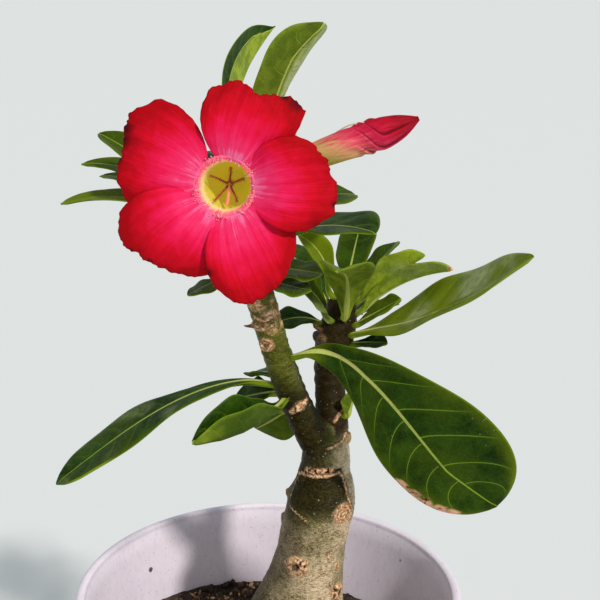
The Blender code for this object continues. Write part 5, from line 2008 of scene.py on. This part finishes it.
@dataclass
class Flower:
    """The open flower: five lobes, a funnel, a fringe round its mouth and the anthers."""

    centre: Spot = (-9.2, -52.0, 252.5)
    elevation: float = 12.0
    heading: float = 263.0
    throat: float = 7.3
    wall: float = 0.8
    profile: Rows = ((0.0, 7.3), (2.0, 6.6), (6.0, 5.9), (11.0, 5.2), (16.0, 4.0), (21.0, 2.4), (26.0, 1.7))
    thickness: float = 0.75
    rise: float = 3.2
    curl: float = 3.4
    wave: float = 0.55
    rows: int = 56
    columns: int = 90
    cone_depth: float = 20.0
    cone_length: float = 12.0
    cone_radius: float = 2.3
    tails: Sequence[float] = (24.0, 78.0, 150.0, 232.0, 306.0, 272.0)
    coral_tail: float = 272.0
    sides: int = 96
    hairs: int = 220
    fringe_seed: int = 5
    anther_seed: int = 9

    def axes(self) -> tuple[Array, Array, Array]:
        """The flower's outward axis, its right and its up, as seen by someone facing it."""
        out = direction(self.heading, self.elevation)
        return out, *across(out)

    def build(self) -> list[Piece]:
        """Builds the petals, the throat, the fringe and the anthers.

        Returns:
            The petals, the throat, the fringe and the stamens.
        """
        petals = Shell.empty()
        for number, lobe in enumerate(LOBES):
            petals += self._lobe(lobe, number)
        corolla = petals.made("flower_petals", PetalFinish().make())
        throat = self._funnel().made("flower_throat", ThroatFinish().make())
        fringe = self._fringe().made("throat_fringe", FringeFinish().make())
        stamens = self._anthers().made("flower_stamens", StamenFinish().make())
        for piece in (corolla, throat, fringe, stamens):
            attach(piece, "root")
        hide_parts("corolla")
        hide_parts("anthers")
        return [corolla, throat, fringe, stamens]

    def _lobe(self, lobe: Lobe, number: int) -> Shell:
        """One lobe: a fan-shaped blade with a finely scalloped edge.

        Args:
            lobe: The lobe's sizes.
            number: Shifts its random pattern.

        Returns:
            The closed blade with its maps and its dark patches.
        """
        out, right, up = self.axes()
        ray, side = turned(right, up, math.radians(lobe.angle))
        rho = np.linspace(0, 1, self.rows)[:, None]
        t = np.linspace(-1, 1, self.columns)[None, :]
        t = 0.8 * t + 0.2 * np.sin(t * np.pi / 2)
        foot = self.throat * np.tan(np.pi / 5) * 0.98
        half = foot + (lobe.width / 2 - foot) * np.sin(np.pi / 2 * np.clip(rho / 0.8, 0, 1)) ** 0.7
        edge_noise = self._scallop(t * lobe.width / 2 + 7 * number, 0.7)
        reach = lobe.length * rho * (1 - lobe.cut * np.abs(t) ** 3.5) + lobe.skew * rho * t
        reach = reach + self.throat - GAP - 0.55 * (1 - rho) * t**2 + 0.65 * edge_noise * rho**6
        reach = reach + np.interp(t, *zip(*lobe.edge)) * rho**3
        side_noise = self._scallop(rho * lobe.length + 11 * number + 3 * np.sign(t), 1.3)
        half = half * np.ones_like(t) + 0.22 * side_noise * np.abs(t) ** 8 * ease(rho * 3)
        flare = self.rise * (1 - (1 - rho) ** 2) - self.curl * rho**2.2
        over = ease(rho / 0.4) * (lobe.lift + lobe.tilt * t)
        ripple = self.wave * np.sin(5.0 * t + lobe.angle) * rho**3
        frill = 0.28 * np.sin(15.0 * t + 2.3 * lobe.angle) * rho**5
        fan = np.stack(np.broadcast_arrays(0.35 * rho, 7.0 * t + 5 * number, 0.0 * rho), axis=-1)
        fan = fan.reshape(-1, 3)
        groove = 0.14 * value_noise(fan, 1.0, 71) + 0.05 * value_noise(fan, 0.4, 72)
        groove = groove.reshape(self.rows, self.columns) * ease(rho / 0.5) * (1 - 0.4 * rho**3)
        height = flare + over + ripple + frill + groove
        upper = np.array(self.centre) + ray * reach[..., None] + side * (half * t)[..., None]
        upper = upper + out * height[..., None]
        skin = skin_normals(upper)
        rim = np.maximum(np.abs(t) * np.ones_like(rho), rho * np.ones_like(t))
        thin = np.sqrt(np.clip(1 - (np.clip(rim - 0.93, 0, 1) / 0.07) ** 2, 0.06, 1))
        full = self.thickness
        top = upper - skin * (full * (1 - thin) / 2)[..., None]
        under = upper - skin * (full * (1 + thin) / 2)[..., None]
        shell = bladed(top, under)
        pixel = VIEW.pixels(shell.points)
        burn = np.zeros(len(pixel))
        for column, row, size in lobe.burns:
            near = np.hypot(pixel[:, 0] - column, pixel[:, 1] - row) / size
            burn = np.maximum(burn, ease((1.15 - near + 0.35 * value_noise(shell.points, 2.0, 51)) / 1.0))
        shape = rim.shape
        outline = on_both(rim, shape)
        burn = burn * (0.45 + 0.5 * ease((outline - 0.8) / 0.2))
        burn = np.maximum(burn, 0.35 * ease((outline - 0.97) / 0.03))
        shell.values["burn"] = np.clip(burn, 0, 0.9)
        far, beside, streak = (on_both(grid, shape) for grid in (rho, t, t + 3.7 * number))
        shell.maps = {
            "petal": np.column_stack([far, beside]),
            "streaks": np.column_stack([far, streak]),
        }
        return shell

    def _scallop(self, place: Array, size: float) -> Array:
        """Small rounded bites along an edge.

        Args:
            place: Places along the edge in millimetres.
            size: Width of one bite in millimetres.

        Returns:
            The bite at each place, about -1 to 1.
        """
        flat = np.stack([place.ravel(), np.zeros(place.size), np.zeros(place.size)], axis=1)
        return (value_noise(flat, size, 61) + 0.6 * value_noise(flat, size * 2.7, 62)).reshape(place.shape)

    def _ring(self, depth: float, radius: float, sides: int) -> Array:
        """A ring round the flower's axis, at a depth inside its mouth."""
        out, right, up = self.axes()
        return np.array(self.centre) - out * depth + spokes(sides, right, up) * radius

    def _funnel(self) -> Shell:
        """The funnel's wall, open at its mouth and closed at its foot.

        Returns:
            The wall with its map.
        """
        sides = self.sides
        fine = smooth_curve(self.profile, 4)
        rings = [self._ring(d, r + self.wall, sides) for d, r in fine[::-1]]
        rings.append(self._ring(-0.25, self.throat + 0.45, sides))
        inner = [self._ring(d, r - 0.12 * (i % 2), sides) for i, (d, r) in enumerate(fine)]
        shell = lofted([*rings, *inner])
        outside = len(rings) * sides
        deep = np.array([*fine[::-1, 0], 0.0, *fine[:, 0], fine[-1, 0], fine[-1, 0]]) / 26.0
        depth = np.concatenate([np.repeat(deep[: len(rings) + len(inner)], sides), deep[-2:]])
        upper = np.concatenate([np.zeros(outside - sides), np.ones(sides * (len(inner) + 1)), [0.0, 1.0]])
        turn = np.append(np.tile(np.arange(sides) / sides, len(rings) + len(inner)), [0.0, 0.0])
        turn = np.abs(turn - 0.5)
        shell.values = {"upper": upper}
        shell.maps = {"petal": np.column_stack([depth, turn])}
        return shell

    def _fringe(self) -> Shell:
        """Short blunt hairs round the mouth, thick where two lobes meet.

        Returns:
            All hairs in one shell.
        """
        draw = np.random.default_rng(self.fringe_seed)
        out, right, up = self.axes()
        shell = Shell.empty()
        for i in range(self.hairs):
            # Three hairs in five stand where a lobe meets the next one
            lobe, seamed = i % 25 // 5, i % 5 < 3
            if seamed:
                seam = math.radians((LOBES[lobe].angle + LOBES[(lobe + 1) % 5].angle) / 2)
                angle = seam + math.pi * (lobe == 4) + draw.normal(0.0, 0.16)
            else:
                angle = draw.uniform(0, 2 * math.pi)
            away, _ = turned(right, up, angle)
            # A foot inside the mouth stands on the funnel's sloping wall
            beyond = draw.uniform(-0.75, 1.0 if seamed else 0.2)
            rise = draw.uniform(0.0, 0.5) + 2.8 * min(0.0, beyond)
            foot = np.array(self.centre) + away * (self.throat + beyond) + out * rise
            long = draw.uniform(0.4, 1.2)
            tip = foot + out * long * 0.5 + away * draw.uniform(-0.9, 0.5) * long
            bend = (foot + tip) / 2 + away * 0.15
            thick = draw.uniform(0.10, 0.18)
            shell += hair([(*foot, thick), (*bend, thick * 0.9), (*tip, thick * 0.5)])
        return shell

    def _anthers(self) -> Shell:
        """The cone of anthers and five feathery tails that spread from it to the throat.

        Returns:
            The cone and its tails in one shell.
        """
        draw = np.random.default_rng(self.anther_seed)
        out, right, up = self.axes()
        centre = np.array(self.centre)
        foot = centre - out * self.cone_depth
        tip = foot + out * self.cone_length
        seat = float(np.interp(self.cone_depth, *zip(*self.profile))) - 0.36
        ribs = 1 + 0.10 * np.abs(np.cos(2.5 * (2 * np.pi * np.arange(40) / 40)))
        rings = []
        for share in np.linspace(0, 1, 22):
            width = np.interp(share, (0, 0.5, 0.92, 1), (seat, self.cone_radius, 0.8, 0.45))
            rings.append(foot + (tip - foot) * share + spokes(40, right, up) * (width * ribs)[:, None])
        cone = lofted(rings)
        cone.values["tail"] = 0.6 * ease((cone.values["along"] - 0.75) / 0.25)
        tails = Shell.empty()
        coral = []
        for angle in self.tails:
            before = len(tails.points)
            away, side = turned(right, up, math.radians(angle))
            bends = ((-1.5, 0.0), (0.8, 1.2), (2.4, 3.4), (4.6, 4.9))
            track = smooth_curve([tip + out * rise + away * far for rise, far in bends], 5)
            radii = np.linspace(0.30, 0.16, len(track)) + 0.12 * (angle == self.coral_tail)
            tails += hair([(*p, r) for p, r in zip(track, radii)], 8)
            for p in track[3:]:
                for way in (-1, 1):
                    end = p + side * way * draw.uniform(0.4, 0.7) + out * draw.uniform(0.1, 0.5)
                    middle = (p + end) / 2 + out * 0.1
                    tails += hair([(*p, 0.08), (*middle, 0.07), (*end, 0.04)], 4)
            coral.append(np.full(len(tails.points) - before, float(angle == self.coral_tail)))
        tails.values["tail"] = np.ones(len(tails.points))
        tails.values["coral"] = np.concatenate(coral)
        cone.values["coral"] = np.zeros(len(cone.points))
        return cone + tails


@dataclass
class Calyx:
    """A stalk from the stem with a cup and five pointed sepals round a tube's foot."""

    name: str
    node: str
    stem_point: Spot
    seat: Array
    axis: Array
    stalk_radius: float
    cup_radius: float
    cup_depth: float = 2.6
    sepals: int = 5
    sepal_length: float = 6.0
    sepal_width: float = 2.6
    sepal_thickness: float = 0.7
    spread: float = 1.3

    def build(self, finish: Material) -> Piece:
        """Builds the stalk, the cup and the sepals as one piece.

        Args:
            finish: The calyx's material.

        Returns:
            The piece.
        """
        axis = unit(self.axis)
        right, up = across(axis)
        below = self.seat - axis * 2 * GAP
        top = below - axis * 0.85 * self.cup_depth
        bend = (2 * np.array(self.stem_point) + top - axis * self.cup_depth) / 3
        knots = [(*self.stem_point, self.stalk_radius * 1.15), (*bend, self.stalk_radius)]
        knots.append((*top, self.stalk_radius * 1.2))
        shell = lofted(tube_rings(knots, 28, 10))
        foot, deep = self.cup_radius * 0.55, self.cup_depth
        cup = [(*(below - axis * deep), foot), (*(below - axis * deep * 0.6), foot * 1.35)]
        cup += [(*(below - axis * deep * 0.25), self.cup_radius * 0.97), (*below, self.cup_radius)]
        shell += lofted(tube_rings(cup, 40, 5))
        shell.values = {"tip": np.zeros(len(shell.points))}
        for i in range(self.sepals):
            away, side = turned(right, up, 2 * np.pi * (i + 0.5) / self.sepals)
            share = np.linspace(0, 1, 22)[:, None]
            t = np.linspace(-1, 1, 11)[None, :]
            clear = self.cup_radius / 2 + (self.cup_radius / 2 + 2 * GAP) * ease(share / 0.3)
            rise = self.sepal_length * share - deep / 2
            half = self.sepal_width / 2 * (1 - share) ** 0.7 + 0.12
            lift = clear + self.spread * share**2 - 0.22 * t**2 * half
            inner = (below + axis * rise[..., None]) + away * lift[..., None] + side * (half * t)[..., None]
            thick = self.sepal_thickness * np.sqrt(np.clip(1 - 0.96 * t**2, 0.04, 1)) * (1 - 0.5 * share)
            leafy = bladed(inner + away * thick[..., None], inner)
            leafy.values = {"tip": on_both(ease((share - 0.45) / 0.6) * 0.7, inner.shape[:2])}
            shell += leafy
        piece = shell.made(self.name, finish)
        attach(piece, "root")
        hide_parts(self.node)
        return piece


@dataclass
class Bud:
    """The closed bud: a pale tube whose rolled lobes overlap in a spiral."""

    path: Rows = (
        (3.0, -20.5, 246.5), (9.5, -26.0, 251.2), (20.3, -31.0, 257.0), (31.0, -30.5, 260.6),
        (40.8, -30.0, 264.4),
    )
    shares: Sequence[float] = (0.0, 0.08, 0.2, 0.35, 0.5, 0.62, 0.74, 0.85, 0.94, 1.0)
    radii: Sequence[float] = (1.7, 2.2, 2.9, 3.5, 3.9, 4.1, 4.1, 3.2, 1.8, 0.5)
    turns: float = 0.44
    step: float = 0.95
    sides: int = 150

    def curve(self, steps: int) -> Array:
        """Points along the bud's middle."""
        return smooth_curve(self.path, steps)

    def build(self) -> Piece:
        """Builds the bud with its overlapping edges.

        Returns:
            The bud.
        """
        curve = self.curve(40)
        along = np.linspace(0, 1, len(curve))
        smooth = smooth_curve(list(zip(self.shares, self.radii)), 8)
        radii = np.interp(along, smooth[:, 0], smooth[:, 1])
        turns = 2 * np.pi * np.arange(self.sides) / self.sides
        swells, seams = [], []
        for share, radius in zip(along, radii):
            # The lobes cross the bud where they leave the tube, then run on to its tip
            spiral = turns - 2 * np.pi * self.turns * ease((share - 0.545) / 0.23)
            phase = (5 * spiral / (2 * np.pi)) % 1
            strength = ease((share - 0.57) / 0.08) * ease((1 - share) / 0.12)
            ridge = self.step * (0.5 - phase + ease((phase - 0.86) / 0.14)) * strength
            faint = 0.12 * np.cos(5 * spiral) * ease(share * 4) * (1 - strength)
            swells.append((radius + ridge + faint)[:, None])
            # Painted shadow on the tip side of each overlapping edge
            seams.append(0.85 * ease((phase - 0.70) / 0.16) * ease((1 - phase) / 0.09) * strength)
        shell = lofted(rings_along(curve, swells, self.sides))
        seam = np.append(np.concatenate(seams), [0.0, 0.0])
        turn = np.append(np.tile(np.abs(np.arange(self.sides) / self.sides - 0.5), len(curve)), [0, 0])
        shell.maps = {"petal": np.column_stack([shell.values["along"], turn])}
        shell.values = {"seam": seam, "dry": 0.0 * seam}
        shell += self._peel(curve, radii)
        piece = shell.made("bud_petals", BudFinish().make())
        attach(piece, "root")
        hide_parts("bud")
        return piece

    def _peel(self, curve: Array, radii: Array) -> Shell:
        """A dry strip that peels off the top of the bud.

        Args:
            curve: Points along the bud's middle.
            radii: The bud's radius at each.

        Returns:
            The thin strip.
        """
        share = np.linspace(0.42, 0.68, 26)
        spots = np.round(share * (len(curve) - 1)).astype(int)
        lift = radii[spots] + 0.1 + 0.8 * np.sin(np.linspace(0, np.pi, 26)) ** 2
        top = curve[spots] + lift[:, None] * np.array((0.0, 0.18, 0.98))
        half = 0.55 * np.sin(np.linspace(0.15, np.pi - 0.15, 26))
        across = np.linspace(-1, 1, 5)[None, :, None] * half[:, None, None] * np.array((0.0, 0.98, -0.18))
        upper = top[:, None, :] + across
        peel = bladed(upper, upper - np.array((0.0, 0.05, 0.3)))
        count = len(peel.points)
        peel.values = {"seam": np.zeros(count), "dry": np.ones(count)}
        peel.maps = {"petal": np.zeros((count, 2))}
        return peel


# Floor and light


@dataclass
class Studio:
    """A pale plain floor, a soft key from the right front, and an even sky."""

    floor_size: float = 6.0
    sun_heading: float = -52.0
    sun_elevation: float = 43.0
    sun_width: float = 5.0
    sun_strength: float = 2.72
    sun: Colour = (1.0, 0.975, 0.94)
    sky: Colour = (0.86, 0.96, 1.0)
    sky_strength: float = 0.55
    floor: Colour = (0.70, 0.70, 0.69)

    def build(self) -> None:
        """Makes the floor, the lights and the sky."""
        side = self.floor_size / 2
        mesh = bpy.data.meshes.new("floor")
        corners = [(-side, -side, 0), (side, -side, 0), (side, side, 0), (-side, side, 0)]
        mesh.from_pydata(corners, [], [(0, 1, 2, 3)])
        tree, finish = Tree.material("pale_floor", Roughness=0.7, Specular_IOR_Level=0.2)
        tree.paint(self.floor)
        mesh.materials.append(finish)
        linked("floor", mesh)
        data = bpy.data.lights.new("sun", "SUN")
        data.energy, data.angle = self.sun_strength, math.radians(self.sun_width)
        data.color = self.sun
        lamp = linked("sun", data)
        lamp.rotation_mode = "QUATERNION"
        ray = direction(self.sun_heading, self.sun_elevation)
        lamp.rotation_quaternion = Vector(-ray).to_track_quat("-Z", "Y")
        world = bpy.data.worlds.new("sky")
        bpy.context.scene.world = world
        world.use_nodes = True
        sky = world.node_tree.nodes["Background"]
        sky.inputs[0].default_value = (*self.sky, 1.0)
        sky.inputs[1].default_value = self.sky_strength
        view = bpy.context.scene.view_settings
        view.view_transform = "Standard"
        view.look = "None"


def report(label: str, pieces: Sequence[Piece]) -> None:
    """Logs each piece with its face count."""
    for piece in pieces:
        LOG.info("%s: %s, %d faces", label, piece.name, len(piece.data.polygons))


def main() -> None:
    """Builds and dresses the plant and its pot, then the studio."""
    logging.basicConfig(level=logging.INFO, format="%(message)s")
    VIEW.build()
    pot = Pot()
    report("pot", [pot.build()])
    report("potting mix", PottingMix(pot).build())
    report("stems", [Stems().build()])
    report("leaves", Foliage().build())
    flower = Flower()
    report("flower", flower.build())
    calyx = CalyxFinish().make()
    out, _, _ = flower.axes()
    seat = np.array(flower.centre) - out * (flower.profile[-1][0] + flower.wall)
    stalk = Calyx("flower_stalk", "flower_calyx", (-8.6, -28.8, 235.0), seat, out, 1.3, 2.5)
    report("flower", [stalk.build(calyx)])
    bud = Bud()
    report("bud", [bud.build()])
    curve = bud.curve(5)
    stalk = Calyx("bud_stalk", "bud_calyx", (-6.2, -26.0, 235.4), curve[0], curve[1] - curve[0], 1.1, 1.9)
    report("bud", [stalk.build(calyx)])
    Studio().build()


if __name__ == "__main__":
    main()
